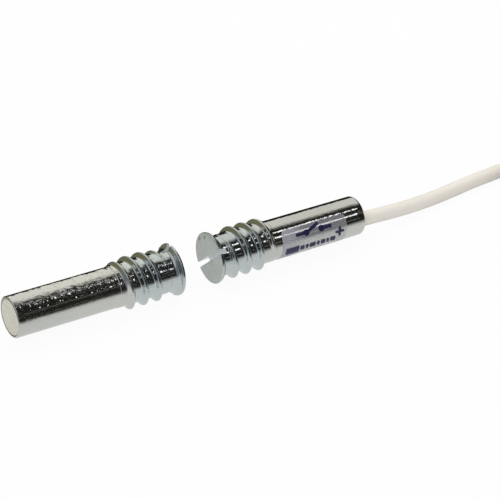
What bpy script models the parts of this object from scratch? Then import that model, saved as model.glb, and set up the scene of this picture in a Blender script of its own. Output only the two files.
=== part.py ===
"""Recessed magnetic contact: a reed contact and its magnet, each cast in the same slotted,
flanged and threaded shell, with the contact's own cable folded into a tied hank.

Both units lie level on one axis along X, at Z = AXIS_HEIGHT, their flange faces towards each
other. The magnet is at -X, the contact and its cable are at +X, and the surface is at Z = 0.
"""
import math

import bmesh
import bpy
from mathutils import Matrix, Vector

MM = 0.001

# Cast shell, the same for both units: distances run from the flange face along its axis
FLANGE_RADIUS = 5.15 * MM
FLANGE_RIM = 0.62 * MM
FLANGE_EDGE = 0.10 * MM
FLANGE_FILLET = 1.0 * MM
NECK_RADIUS = 4.0 * MM
CORE_RADIUS = 4.1 * MM
CORE_START = 2.45 * MM
CORE_END = 13.2 * MM
CORE_STEP = 0.12 * MM
BODY_RADIUS = 4.0 * MM
UNIT_LENGTH = 34.4 * MM
BORE_RADIUS = 3.3 * MM
FRONT_WALL = 1.6 * MM
SLOT_WIDTH = 1.05 * MM
SLOT_DEPTH = 2.0 * MM
CONTACT_EDGE_ROUND = 0.6 * MM
MAGNET_EDGE_ROUND = 0.25 * MM
MAGNET_BORE_RADIUS = 3.6 * MM

# Rounded right-hand thread, with a run-out at each end
THREAD_START = 2.93 * MM
THREAD_PITCH = 2.92 * MM
THREAD_TURNS = 3.32
THREAD_CREST_RADIUS = 5.0 * MM
THREAD_CREST_ROUND = 0.25 * MM
THREAD_ROOT_FILLET = 0.4 * MM
THREAD_FLANK_SLOPE = math.radians(60)
THREAD_ROOT_SINK = 0.35 * MM
THREAD_FOOT_SINK = 0.04 * MM
THREAD_FADE_TURNS = 0.38
THREAD_END_WIDTH = 0.8 * MM
THREAD_END_SINK = 0.1 * MM
THREAD_FROM_SLOT = math.radians(-34)

# Pair layout
REST_GAP = 8.2 * MM
CONTACT_SLOT_ANGLE = math.radians(140.6)
MAGNET_SLOT_ANGLE = math.radians(96)

# Fits
FIT_GAP = 0.1 * MM
FILM_GAP = 0.03 * MM

# Reed switch
REED_HEIGHT = 0.9 * MM
GLASS_START = 7.0 * MM
GLASS_FROM_REAR = 13.4 * MM
GLASS_RADIUS = 1.1 * MM
GLASS_WALL = 0.25 * MM
GLASS_SEAL = 1.2 * MM
GLASS_SHOULDER = 0.5 * MM
LEAD_RADIUS = 0.25 * MM
LEAD_OUTSIDE = 2.4 * MM
BLADE_WIDTH = 1.0 * MM
BLADE_THICKNESS = 0.22 * MM
BLADE_TAPER = 1.2 * MM
BLADE_TIP_WIDTH = 0.8 * MM
BLADE_TIP_LENGTH = 0.3 * MM
BLADE_OVERLAP = 1.2 * MM
BLADE_GAP = 0.2 * MM
SLEEVE_WALL = 0.4 * MM
SLEEVE_OVERHANG = 1.2 * MM
SOLDER_RADIUS = 0.5 * MM
SOLDER_ON_LEAD = 0.3 * MM

# Bar magnet
MAGNET_BAR_RADIUS = 3.0 * MM
MAGNET_PLUG_LENGTH = 5.55 * MM
MAGNET_BAR_EDGE = 0.3 * MM
MAGNET_SEAT_GAP = 0.15 * MM

# Cable, potting and conductors
CABLE_RADIUS = 1.5 * MM
CABLE_LENGTH = 2.0
CABLE_AWAY = 6.35 * MM
CABLE_REACH = 46.0 * MM
CABLE_END_LIFT = 0.15 * MM
POTTING_LENGTH = 5.4 * MM
POTTING_SKIN = 0.15 * MM
POTTING_EDGE = 0.1 * MM
CABLE_INSERTION = 4.4 * MM
COLLAR_LENGTH = 0.4 * MM
COLLAR_WIDTH = 0.4 * MM
COLLAR_LIP = 0.12 * MM
WIRE_RADIUS = 0.5 * MM
SPLICE_RADIUS = 0.8 * MM
SPLICE_LENGTH = 3.7 * MM
SPLICE_FROM_SLEEVE = 0.3 * MM
SPLICE_SIDE = 2.0 * MM
SPLICE_HEIGHT = -1.2 * MM

# Stripped far end: four conductors, the upper pair fanned wider than the lower pair
TAIL_START = 6.0 * MM
TAIL_SHEATH = 24.0 * MM
TAIL_WIRE_LENGTH = 20.0 * MM
TAIL_FAN_LOWER = 0.68 * MM
TAIL_FAN_UPPER = 2.1 * MM
BARE_TIP_LENGTH = 6.0 * MM
BARE_TIP_RADIUS = 0.25 * MM

# Hank: two columns of turns on each side of a long loop, held by two ties
HANK_COLUMNS = 2
HANK_ROWS = 6
STRAND_PITCH = 3.05 * MM
FOLD_RADIUS = 9.0 * MM
CROSSOVER_RISE = 1.3 * MM
TIE_THICKNESS = 0.6 * MM
TIE_WIDTH = 2.6 * MM
TIE_CORNER = 0.8 * MM
TIE_GAP = 0.3 * MM
TIE_HEAD_SIZE = (4.0 * MM, 3.6 * MM, 2.8 * MM)
TIE_HEAD_EDGE = 0.4 * MM
TIE_HEAD_SINK = 0.2 * MM

# Clear label film on the contact body
LABEL_FROM_CORE = 1.3 * MM
LABEL_FROM_REAR = 4.8 * MM
LABEL_TOP_ANGLE = math.radians(131)
LABEL_SPAN = math.radians(150)
LABEL_THICKNESS = 0.08 * MM
LABEL_CORNER = 1.2 * MM

# Fineness of the round forms
ROUND_SEGMENTS = 48
SMALL_SEGMENTS = 16
TIP_SEGMENTS = 10
BLADE_SEGMENTS = 12
THREAD_STEPS_PER_TURN = 32
LABEL_COLUMNS = 26
CABLE_STEP = 3.5 * MM

# Derived places
AXIS_HEIGHT = FLANGE_RADIUS
BORE_START = SLOT_DEPTH + FRONT_WALL
PAIR_MIN = -REST_GAP - UNIT_LENGTH
PAIR_MAX = UNIT_LENGTH + COLLAR_LENGTH
CONTACT_FACE_X = -(PAIR_MIN + PAIR_MAX) / 2
MAGNET_FACE_X = CONTACT_FACE_X - REST_GAP
POTTING_START = UNIT_LENGTH - POTTING_LENGTH
CABLE_INNER_END = UNIT_LENGTH - CABLE_INSERTION
GLASS_END = UNIT_LENGTH - GLASS_FROM_REAR
GLASS_LENGTH = GLASS_END - GLASS_START
HINGE_FRONT = GLASS_START + GLASS_SEAL / 2
HINGE_REAR = GLASS_END - GLASS_SEAL / 2
CABLE_WAY_RADIUS = CABLE_RADIUS + FIT_GAP
CABLE_DROP = BORE_RADIUS - FIT_GAP - POTTING_SKIN - CABLE_WAY_RADIUS
WIRE_START = CABLE_INNER_END - FIT_GAP
WIRE_SPREAD = WIRE_RADIUS + FIT_GAP / 2
SPLICE_START = GLASS_END + SLEEVE_OVERHANG + SPLICE_FROM_SLEEVE
BEAD_FROM_SEAL = GLASS_SEAL / 2 + LEAD_OUTSIDE - SOLDER_ON_LEAD
MAGNET_BAR_START = BORE_START + MAGNET_SEAT_GAP
MAGNET_PLUG_START = UNIT_LENGTH - MAGNET_PLUG_LENGTH
LABEL_START = CORE_END + LABEL_FROM_CORE
LABEL_END = UNIT_LENGTH - LABEL_FROM_REAR

# The free stretch of the cable: distance behind the unit, distance aside, and share of the fall
# from the cable's way to the surface
CABLE_FALL = AXIS_HEIGHT - CABLE_DROP - CABLE_RADIUS
CABLE_ROUTE = [
    (-CABLE_INSERTION, 0.0, 0.0),
    (0.0, 0.0, 0.0),
    (4.0 * MM, 0.05 * MM, 0.036),
    (9.5 * MM, 0.55 * MM, 0.273),
    (15.5 * MM, 1.75 * MM, 0.636),
    (21.5 * MM, 3.0 * MM, 0.9),
    (27.5 * MM, 4.15 * MM, 1.0),
    (34.5 * MM, 5.3 * MM, 1.0),
    (42.5 * MM, 6.2 * MM, 1.0),
    (CABLE_REACH, CABLE_AWAY, 1.0 - CABLE_END_LIFT / CABLE_FALL),
]

# The hank's loop: straight runs between two round ends, in line with the cable
HANK_LIFT = TIE_THICKNESS + TIE_GAP
HANK_OUTER = FOLD_RADIUS + (HANK_COLUMNS - 1) * STRAND_PITCH + CABLE_RADIUS
HANK_INNER = FOLD_RADIUS - CABLE_RADIUS
HANK_HEIGHT = (HANK_ROWS - 1) * STRAND_PITCH + 2 * CABLE_RADIUS + CROSSOVER_RISE
HANK_Y = CABLE_AWAY - (HANK_OUTER - CABLE_RADIUS)
HANK_MEETS = math.sqrt(HANK_OUTER**2 - (HANK_OUTER - 2 * CABLE_RADIUS) ** 2)
HANK_START = UNIT_LENGTH + CABLE_REACH + TIE_GAP + HANK_MEETS
HANK_TURNS = HANK_COLUMNS * HANK_ROWS
FREE_LENGTH = HANK_START - UNIT_LENGTH
MEAN_FOLD = FOLD_RADIUS + (HANK_COLUMNS - 1) * STRAND_PITCH / 2
WOUND_LENGTH = CABLE_LENGTH - FREE_LENGTH - TAIL_SHEATH
HANK_STRAIGHT = (WOUND_LENGTH / HANK_TURNS - 2 * math.pi * MEAN_FOLD) / 2


def clear_scene():
    """Empty the file of objects, so that the script can run again."""
    for obj in list(bpy.data.objects):
        bpy.data.objects.remove(obj, do_unlink=True)


def make_material(name, colour, roughness, metallic=0.0, alpha=1.0):
    """A Principled material with the piece's plain colour."""
    material = bpy.data.materials.new(name)
    material.use_nodes = True
    shader = material.node_tree.nodes["Principled BSDF"]
    shader.inputs["Base Color"].default_value = (*colour, 1.0)
    shader.inputs["Roughness"].default_value = roughness
    shader.inputs["Metallic"].default_value = metallic
    shader.inputs["Alpha"].default_value = alpha
    return material


def make_empty(name, location, turn=0.0):
    """An empty that carries one unit, turned about Z."""
    empty = bpy.data.objects.new(name, None)
    empty.location = location
    empty.rotation_euler = (0.0, 0.0, turn)
    bpy.context.collection.objects.link(empty)
    return empty


def add_object(name, bm, material=None, parent=None, location=(0.0, 0.0, 0.0)):
    """Turn a bmesh into a smooth shaded object under its parent."""
    bmesh.ops.recalc_face_normals(bm, faces=bm.faces)
    mesh = bpy.data.meshes.new(name)
    bm.to_mesh(mesh)
    bm.free()
    mesh.shade_smooth()
    mesh.set_sharp_from_angle(angle=math.radians(35))
    obj = bpy.data.objects.new(name, mesh)
    obj.location = location
    obj.parent = parent
    if material:
        mesh.materials.append(material)
    bpy.context.collection.objects.link(obj)
    return obj


def hide_guide(obj):
    """Mark a cutter or an added form, which isn't a piece of its own."""
    obj.hide_render = True
    obj.display_type = "WIRE"


def add_boolean(obj, other, operation):
    """Cut or join another form with the exact solver."""
    modifier = obj.modifiers.new(operation.lower(), "BOOLEAN")
    modifier.operation = operation
    modifier.object = other
    modifier.solver = "EXACT"


def arc(centre_x, centre_r, radius, start, end, steps):
    """Points of a round stretch of a turned outline, with angles in degrees."""
    angles = [math.radians(start + (end - start) * i / steps) for i in range(steps + 1)]
    return [(centre_x + radius * math.cos(a), centre_r + radius * math.sin(a)) for a in angles]


def turned_mesh(outline, segments, centre=(0.0, 0.0)):
    """Spin an outline of (x, radius) points about an axis along X through centre (y, z)."""
    bm = bmesh.new()
    points = [bm.verts.new((x, centre[0] + radius, centre[1])) for x, radius in outline]
    edges = [bm.edges.new(pair) for pair in zip(points, points[1:])]
    if outline[0][1] > 0 and outline[-1][1] > 0:
        edges.append(bm.edges.new((points[-1], points[0])))
    bmesh.ops.spin(
        bm,
        geom=points + edges,
        cent=(0.0, centre[0], centre[1]),
        axis=(1.0, 0.0, 0.0),
        angle=2 * math.pi,
        steps=segments,
        use_merge=True,
    )
    bmesh.ops.remove_doubles(bm, verts=bm.verts, dist=1e-7)
    return bm


def shell_outline(bore_radius, edge_round):
    """The cast shell from the middle of its face round to the bottom of its bore."""
    fillet_x = FLANGE_RIM + FLANGE_FILLET
    outline = [
        (0.0, 0.0),
        (0.0, FLANGE_RADIUS - FLANGE_EDGE),
        (FLANGE_EDGE, FLANGE_RADIUS),
        (FLANGE_RIM - FLANGE_EDGE, FLANGE_RADIUS),
    ]
    outline += arc(fillet_x, NECK_RADIUS + FLANGE_FILLET, FLANGE_FILLET, 180, 270, 5)
    outline += [
        (CORE_START, NECK_RADIUS),
        (CORE_START + CORE_STEP, CORE_RADIUS),
        (CORE_END, CORE_RADIUS),
        (CORE_END + CORE_STEP, BODY_RADIUS),
    ]
    outline += arc(UNIT_LENGTH - edge_round, BODY_RADIUS - edge_round, edge_round, 90, 0, 3)
    outline += [(UNIT_LENGTH, bore_radius), (BORE_START, bore_radius), (BORE_START, 0.0)]
    return outline


def skin_rings(bm, rings):
    """Faces between rings of equally many points, and a face over each end."""
    for ring, following in zip(rings, rings[1:]):
        for i in range(len(ring)):
            j = (i + 1) % len(ring)
            bm.faces.new((ring[i], ring[j], following[j], following[i]))
    bm.faces.new(rings[0])
    bm.faces.new(rings[-1])


def thread_section(fade):
    """One cross-section of the thread: rounded crest, sloping flanks, fillets and a sunk root."""
    full_height = THREAD_CREST_RADIUS - CORE_RADIUS
    drop = 1 - math.cos(THREAD_FLANK_SLOPE)
    flank_height = full_height - (THREAD_CREST_ROUND + THREAD_ROOT_FILLET) * drop
    crest_end = THREAD_CREST_ROUND * math.sin(THREAD_FLANK_SLOPE)
    fillet_end = crest_end + flank_height / math.tan(THREAD_FLANK_SLOPE)
    foot = fillet_end + THREAD_ROOT_FILLET * math.sin(THREAD_FLANK_SLOPE)
    end_share = THREAD_END_WIDTH / (2 * foot)
    narrowed = end_share + (1 - end_share) * fade
    sunk = CORE_RADIUS - THREAD_END_SINK * (1 - fade)
    side = [
        (crest_end * narrowed, sunk + (full_height - THREAD_CREST_ROUND * drop) * fade),
        (fillet_end * narrowed, sunk + THREAD_ROOT_FILLET * drop * fade),
        (foot * narrowed, sunk - THREAD_FOOT_SINK),
        (foot * narrowed, CORE_RADIUS - THREAD_ROOT_SINK),
    ]
    crest = (0.0, sunk + full_height * fade)
    return [(-along, radius) for along, radius in reversed(side)] + [crest] + side


def thread_mesh(slot_angle):
    """The rounded thread as one closed ridge, which rises out of the core and sinks back."""
    bm = bmesh.new()
    steps = round(THREAD_TURNS * THREAD_STEPS_PER_TURN)
    rings = []
    for i in range(steps + 1):
        turn = i / THREAD_STEPS_PER_TURN
        from_end = min(turn, THREAD_TURNS - turn) / THREAD_FADE_TURNS
        fade = math.sin(math.pi / 2 * max(0.0, min(1.0, from_end)))
        angle = slot_angle + THREAD_FROM_SLOT + 2 * math.pi * turn
        place = THREAD_START + THREAD_PITCH * turn
        section = thread_section(fade)
        rings.append(
            [bm.verts.new((place + s, r * math.cos(angle), r * math.sin(angle))) for s, r in section]
        )
    skin_rings(bm, rings)
    return bm


def slot_mesh(slot_angle):
    """The cutter for the screwdriver slot, across the whole flange and half in front of it."""
    bm = bmesh.new()
    bmesh.ops.create_cube(bm, size=1.0)
    reach = 2 * FLANGE_RADIUS + 2 * SLOT_WIDTH
    bmesh.ops.scale(bm, vec=(2 * SLOT_DEPTH, reach, SLOT_WIDTH), verts=bm.verts)
    bmesh.ops.rotate(bm, matrix=Matrix.Rotation(slot_angle, 3, "X"), verts=bm.verts)
    return bm


def make_shell(name, unit, slot_angle, bore_radius, edge_round, material):
    """One cast shell: turned body, thread joined on, slot cut across the flange."""
    outline = shell_outline(bore_radius, edge_round)
    shell = add_object(name, turned_mesh(outline, ROUND_SEGMENTS), material, unit)
    thread = add_object(name + "_thread", thread_mesh(slot_angle), None, unit)
    slot = add_object(name + "_slot", slot_mesh(slot_angle), None, unit)
    for guide, operation in ((thread, "UNION"), (slot, "DIFFERENCE")):
        hide_guide(guide)
        add_boolean(shell, guide, operation)
    return shell


def glass_outline():
    """The glass tube of the reed switch, with a seal round the lead at each end."""
    hole = LEAD_RADIUS + FIT_GAP
    shoulder = GLASS_SHOULDER
    inside = GLASS_RADIUS - GLASS_WALL
    outline = [(GLASS_START, hole)]
    outline += arc(GLASS_START + shoulder, GLASS_RADIUS - shoulder, shoulder, 180, 90, 3)
    outline += arc(GLASS_END - shoulder, GLASS_RADIUS - shoulder, shoulder, 90, 0, 3)
    outline += [
        (GLASS_END, hole),
        (GLASS_END - GLASS_SEAL, hole),
        (GLASS_END - GLASS_SEAL - shoulder, inside),
        (GLASS_START + GLASS_SEAL + shoulder, inside),
        (GLASS_START + GLASS_SEAL, hole),
    ]
    return outline


def blade_mesh(toward, side):
    """A reed blade about its seal: a round lead outside, flattened to a contact tongue inside.

    toward is the direction along X in which the tongue points, side the side of the contact
    gap on which it lies.
    """
    half_seal = GLASS_SEAL / 2
    tongue = (GLASS_LENGTH + BLADE_OVERLAP) / 2 - half_seal
    tongue_z = side * (BLADE_GAP + BLADE_THICKNESS) / 2
    pressed = half_seal + FIT_GAP
    half_thickness = BLADE_THICKNESS / 2
    stations = [
        (-half_seal - LEAD_OUTSIDE, LEAD_RADIUS, LEAD_RADIUS, 0.0),
        (pressed, LEAD_RADIUS, LEAD_RADIUS, 0.0),
        (pressed + BLADE_TAPER, BLADE_WIDTH / 2, half_thickness, tongue_z),
        (tongue - BLADE_TIP_LENGTH, BLADE_WIDTH / 2, half_thickness, tongue_z),
        (tongue, BLADE_TIP_WIDTH / 2, half_thickness, tongue_z),
    ]
    bm = bmesh.new()
    rings = []
    for place, half_width, half_height, offset in stations:
        flat = half_height < half_width
        ring = []
        for i in range(BLADE_SEGMENTS):
            angle = 2 * math.pi * i / BLADE_SEGMENTS
            across, up = math.cos(angle), math.sin(angle)
            if flat:
                across = math.copysign(min(1.0, 1.25 * abs(across)), across)
                up = math.copysign(min(1.0, 2.0 * abs(up)), up)
            ring.append(bm.verts.new((toward * place, half_width * across, offset + half_height * up)))
        rings.append(ring)
    skin_rings(bm, rings)
    return bm


def solder_mesh():
    """A bead of solder with the lead's way through it."""
    hole = LEAD_RADIUS + FIT_GAP
    start = math.degrees(math.asin(hole / SOLDER_RADIUS))
    outline = arc(0.0, 0.0, SOLDER_RADIUS, 180 - start, start, 5)
    return turned_mesh(outline, SMALL_SEGMENTS)


def spline_points(route, spacing):
    """Evenly spaced points of a smooth curve through the route's points."""
    points = [Vector(p) for p in route]
    padded = [2 * points[0] - points[1]] + points + [2 * points[-1] - points[-2]]
    fine = []
    for before, a, b, after in zip(padded, padded[1:], padded[2:], padded[3:]):
        for i in range(40):
            t = i / 40
            fine.append(
                0.5
                * (
                    2 * a
                    + (b - before) * t
                    + (2 * before - 5 * a + 4 * b - after) * t**2
                    + (3 * a - before - 3 * b + after) * t**3
                )
            )
    fine.append(points[-1])
    total = sum((b - a).length for a, b in zip(fine, fine[1:]))
    count = max(2, round(total / spacing))
    placed, walked, wanted = [fine[0]], 0.0, total / count
    for a, b in zip(fine, fine[1:]):
        step = (b - a).length
        while walked + step >= wanted * len(placed) and len(placed) < count:
            placed.append(a.lerp(b, (wanted * len(placed) - walked) / step))
        walked += step
    placed.append(fine[-1])
    return placed


def make_tube(name, points, radius, material, parent, resolution=2):
    """A round tube with filled ends along the points."""
    curve = bpy.data.curves.new(name, "CURVE")
    curve.dimensions = "3D"
    curve.bevel_depth = radius
    curve.bevel_resolution = resolution
    curve.use_fill_caps = True
    spline = curve.splines.new("POLY")
    spline.points.add(len(points) - 1)
    for point, place in zip(spline.points, points):
        point.co = (*place, 1.0)
    curve.materials.append(material)
    obj = bpy.data.objects.new(name, curve)
    obj.parent = parent
    bpy.context.collection.objects.link(obj)
    return obj


def loop_outline(half_width, straight, steps=12):
    """A long loop with round ends in the surface's plane, from its first round end."""
    points = []
    for i in range(steps + 1):
        angle = math.pi / 2 + math.pi * i / steps
        points.append((half_width * math.cos(angle), half_width * math.sin(angle)))
    for i in range(steps + 1):
        angle = -math.pi / 2 + math.pi * i / steps
        points.append((straight + half_width * math.cos(angle), half_width * math.sin(angle)))
    return points


def ring_mesh(outer, inner, low, high):
    """A flat ring between two outlines of equally many points, from low to high along Z."""
    bm = bmesh.new()
    loops = [
        [bm.verts.new((x, y, z)) for x, y in outline]
        for outline, z in ((outer, low), (outer, high), (inner, high), (inner, low))
    ]
    for ring, following in zip(loops, loops[1:] + loops[:1]):
        for i in range(len(ring)):
            j = (i + 1) % len(ring)
            bm.faces.new((ring[i], ring[j], following[j], following[i]))
    return bm


def tie_mesh(side):
    """A strap round one side of the hank, with its locking head on top."""
    half_span = (HANK_OUTER - HANK_INNER) / 2 + TIE_GAP
    middle = side * (HANK_OUTER + HANK_INNER) / 2
    low, high = TIE_THICKNESS, HANK_LIFT + HANK_HEIGHT + TIE_GAP
    outlines = []
    for grow in (TIE_THICKNESS, 0.0):
        outline = []
        corners = ((1, high, 0), (-1, high, 90), (-1, low, 180), (1, low, 270))
        for across, height, start in corners:
            centre_y = middle + across * (half_span - TIE_CORNER)
            centre_z = height - TIE_CORNER if height == high else height + TIE_CORNER
            outline += arc(centre_y, centre_z, TIE_CORNER + grow, start, start + 90, 3)
        outlines.append(outline)
    bm = ring_mesh(outlines[0], outlines[1], -TIE_WIDTH / 2, TIE_WIDTH / 2)
    bmesh.ops.rotate(bm, matrix=Matrix(((0, 0, 1), (1, 0, 0), (0, 1, 0))), verts=bm.verts)
    return bm


def tie_head_mesh(side):
    """The locking head on the strap's top, sunk a little into it."""
    bm = bmesh.new()
    bmesh.ops.create_cube(bm, size=1.0)
    bmesh.ops.scale(bm, vec=TIE_HEAD_SIZE, verts=bm.verts)
    bmesh.ops.bevel(bm, geom=bm.edges[:], offset=TIE_HEAD_EDGE, segments=2, affect="EDGES")
    strap_top = HANK_LIFT + HANK_HEIGHT + TIE_GAP + TIE_THICKNESS
    height = strap_top - TIE_HEAD_SINK + TIE_HEAD_SIZE[2] / 2
    middle = side * (HANK_OUTER + HANK_INNER) / 2
    bmesh.ops.translate(bm, vec=(0.0, middle, height), verts=bm.verts)
    return bm


def label_mesh():
    """The clear film: a thin sheet with rounded corners, wrapped on the body."""
    inner = BODY_RADIUS + FILM_GAP
    outer = inner + LABEL_THICKNESS
    corner_angle = LABEL_CORNER / inner
    columns = []
    for i in range(LABEL_COLUMNS + 1):
        share = i / LABEL_COLUMNS
        angle = LABEL_TOP_ANGLE + LABEL_SPAN * share
        from_edge = min(share, 1 - share) * LABEL_SPAN
        missing = max(0.0, 1.0 - from_edge / corner_angle)
        pull = LABEL_CORNER * (1 - math.sqrt(max(0.0, 1 - missing**2)))
        columns.append((angle, LABEL_START + pull, LABEL_END - pull))
    bm = bmesh.new()
    layers = []
    for angle, start, end in columns:
        across = []
        for x, radius in ((start, inner), (end, inner), (end, outer), (start, outer)):
            across.append(bm.verts.new((x, radius * math.cos(angle), radius * math.sin(angle))))
        layers.append(across)
    skin_rings(bm, layers)
    return bm


def potting_outline():
    """The resin behind the reed, before the cable's way is cut through it."""
    radius = BORE_RADIUS - FIT_GAP
    return [
        (POTTING_START, 0.0),
        (POTTING_START, radius),
        (UNIT_LENGTH - POTTING_EDGE, radius),
        (UNIT_LENGTH, radius - POTTING_EDGE),
        (UNIT_LENGTH, 0.0),
    ]


def collar_outline():
    """The small collar of resin that climbs the cable behind the rear face."""
    foot, lip = CABLE_RADIUS + COLLAR_WIDTH, CABLE_WAY_RADIUS + COLLAR_LIP
    return [
        (UNIT_LENGTH - COLLAR_LENGTH, 0.0),
        (UNIT_LENGTH - COLLAR_LENGTH, lip),
        (UNIT_LENGTH - FIT_GAP, foot - FIT_GAP),
        (UNIT_LENGTH + COLLAR_LENGTH, lip),
        (UNIT_LENGTH + COLLAR_LENGTH, 0.0),
    ]


def make_potting(unit, material):
    """The potting plug with its collar, round the cable's off-centre way."""
    plug = add_object("potting_plug", turned_mesh(potting_outline(), ROUND_SEGMENTS), material, unit)
    centre = (0.0, -CABLE_DROP)
    collar = add_object(
        "potting_collar", turned_mesh(collar_outline(), SMALL_SEGMENTS, centre), None, unit
    )
    before, behind = POTTING_START - CABLE_RADIUS, UNIT_LENGTH + COLLAR_LENGTH + CABLE_RADIUS
    way_outline = [
        (before, 0.0),
        (before, CABLE_WAY_RADIUS),
        (behind, CABLE_WAY_RADIUS),
        (behind, 0.0),
    ]
    way = add_object("cable_way", turned_mesh(way_outline, SMALL_SEGMENTS, centre), None, unit)
    for guide, operation in ((collar, "UNION"), (way, "DIFFERENCE")):
        hide_guide(guide)
        add_boolean(plug, guide, operation)


def make_reed(unit, materials):
    """The reed switch in its sleeve, with a bead of solder on each lead."""
    glass = turned_mesh(glass_outline(), SMALL_SEGMENTS, (0.0, REED_HEIGHT))
    add_object("reed_glass", glass, materials["glass"], unit)
    inner = GLASS_RADIUS + FIT_GAP
    start, end = GLASS_START - SLEEVE_OVERHANG, GLASS_END + SLEEVE_OVERHANG
    outline = [
        (start, inner),
        (start, inner + SLEEVE_WALL),
        (end, inner + SLEEVE_WALL),
        (end, inner),
    ]
    sleeve = turned_mesh(outline, SMALL_SEGMENTS, (0.0, REED_HEIGHT))
    add_object("reed_sleeve", sleeve, materials["sleeve"], unit)
    for name, hinge, toward, side in (
        ("front", HINGE_FRONT, 1, -1),
        ("rear", HINGE_REAR, -1, 1),
    ):
        seat = (hinge, 0.0, REED_HEIGHT)
        add_object("reed_blade_" + name, blade_mesh(toward, side), materials["reed"], unit, seat)
        bead = (hinge - toward * BEAD_FROM_SEAL, 0.0, REED_HEIGHT)
        add_object("solder_" + name, solder_mesh(), materials["solder"], unit, bead)


def wire_routes():
    """The four conductors inside the shell, from the cable's inner end to what they feed.

    They leave the potting straight. The white one runs along the floor of the bore, under the
    sleeve, up to the front lead. The brown one rises to the rear lead, and the green and yellow
    ones meet the splice beside it.
    """
    low, high = -CABLE_DROP - WIRE_SPREAD, -CABLE_DROP + WIRE_SPREAD
    leave = POTTING_START - FIT_GAP
    front_bead, rear_bead = HINGE_FRONT - BEAD_FROM_SEAL, HINGE_REAR + BEAD_FROM_SEAL
    front_stop = REED_HEIGHT - SOLDER_RADIUS - FIT_GAP
    rear_stop = rear_bead + SOLDER_RADIUS + FIT_GAP
    splice_stop = SPLICE_START + SPLICE_LENGTH + FIT_GAP
    return {
        "wire_white": [
            (WIRE_START, -WIRE_SPREAD, low),
            (leave, -WIRE_SPREAD, low),
            ((leave + front_bead) / 2, -0.8 * WIRE_RADIUS, low),
            (front_bead + 7 * WIRE_RADIUS, -0.4 * WIRE_RADIUS, low),
            (front_bead + 2 * WIRE_RADIUS, -0.2 * WIRE_RADIUS, low + 0.7 * WIRE_RADIUS),
            (front_bead + 0.3 * WIRE_RADIUS, 0.0, (low + front_stop) / 2),
            (front_bead, 0.0, front_stop),
        ],
        "wire_brown": [
            (WIRE_START, -WIRE_SPREAD, high),
            (leave, -WIRE_SPREAD, high),
            (rear_stop + 2.4 * WIRE_RADIUS, -0.3 * WIRE_RADIUS, REED_HEIGHT - 0.7 * WIRE_RADIUS),
            (rear_stop, 0.0, REED_HEIGHT),
        ],
        "wire_green": [
            (WIRE_START, WIRE_SPREAD, low),
            (leave, WIRE_SPREAD, low),
            (splice_stop, SPLICE_SIDE, SPLICE_HEIGHT - WIRE_SPREAD),
        ],
        "wire_yellow": [
            (WIRE_START, WIRE_SPREAD, high),
            (leave, WIRE_SPREAD, high),
            (splice_stop, SPLICE_SIDE, SPLICE_HEIGHT + WIRE_SPREAD),
        ],
    }


def make_wiring(unit, materials):
    """The conductors inside the shell, and the splice that joins the monitoring pair."""
    for name, route in wire_routes().items():
        colour = materials[name.replace("wire_", "")]
        make_tube(name, spline_points(route, 2 * WIRE_RADIUS), WIRE_RADIUS, colour, unit, 1)
    outline = [
        (SPLICE_START, 0.0),
        (SPLICE_START, SPLICE_RADIUS - FIT_GAP),
        (SPLICE_START + FIT_GAP, SPLICE_RADIUS),
        (SPLICE_START + SPLICE_LENGTH - FIT_GAP, SPLICE_RADIUS),
        (SPLICE_START + SPLICE_LENGTH, SPLICE_RADIUS - FIT_GAP),
        (SPLICE_START + SPLICE_LENGTH, 0.0),
    ]
    splice = turned_mesh(outline, SMALL_SEGMENTS, (SPLICE_SIDE, SPLICE_HEIGHT))
    add_object("loop_splice", splice, materials["solder"], unit)


def make_cable(unit, materials):
    """The free stretch of cable, the hank with its ties, and the stripped far end."""
    route = [
        (UNIT_LENGTH + behind, aside, -CABLE_DROP - CABLE_FALL * share)
        for behind, aside, share in CABLE_ROUTE
    ]
    sheath = materials["cable"]
    make_tube("cable_run", spline_points(route, CABLE_STEP), CABLE_RADIUS, sheath, unit)
    hank = make_empty("hank_place", (HANK_START, HANK_Y, -AXIS_HEIGHT))
    hank.parent = unit
    ring = ring_mesh(
        loop_outline(HANK_OUTER, HANK_STRAIGHT),
        loop_outline(HANK_INNER, HANK_STRAIGHT),
        HANK_LIFT,
        HANK_LIFT + HANK_HEIGHT,
    )
    add_object("cable_hank", ring, sheath, hank)
    for name, side in (("near", -1), ("far", 1)):
        place = (HANK_STRAIGHT / 2, 0.0, 0.0)
        tie = add_object("hank_tie_" + name, tie_mesh(side), materials["tie"], hank, place)
        head = add_object("tie_head_" + name, tie_head_mesh(side), None, hank, place)
        hide_guide(head)
        add_boolean(tie, head, "UNION")
    make_far_end(hank, materials)


def make_far_end(hank, materials):
    """The last of the cable inside the loop, and its four stripped conductors."""
    entry = HANK_INNER - CABLE_RADIUS - TIE_GAP
    lifted = HANK_LIFT + CABLE_RADIUS
    tail_run = TAIL_SHEATH - TAIL_START
    tail_route = [
        (TAIL_START, entry, lifted),
        (TAIL_START + 0.3 * tail_run, 0.7 * entry, (2 * lifted + CABLE_RADIUS) / 3),
        (TAIL_START + 0.7 * tail_run, 0.15 * entry, CABLE_RADIUS),
        (TAIL_SHEATH, 0.0, CABLE_RADIUS),
    ]
    sheath = materials["cable"]
    make_tube("cable_tail", spline_points(tail_route, CABLE_STEP), CABLE_RADIUS, sheath, hank)
    for name, side, level in (
        ("white", -1, -1),
        ("brown", -1, 1),
        ("green", 1, -1),
        ("yellow", 1, 1),
    ):
        fan = side * (TAIL_FAN_UPPER if level > 0 else TAIL_FAN_LOWER)
        make_conductor(hank, name, side * WIRE_SPREAD, level * WIRE_SPREAD, fan, materials)


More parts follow.
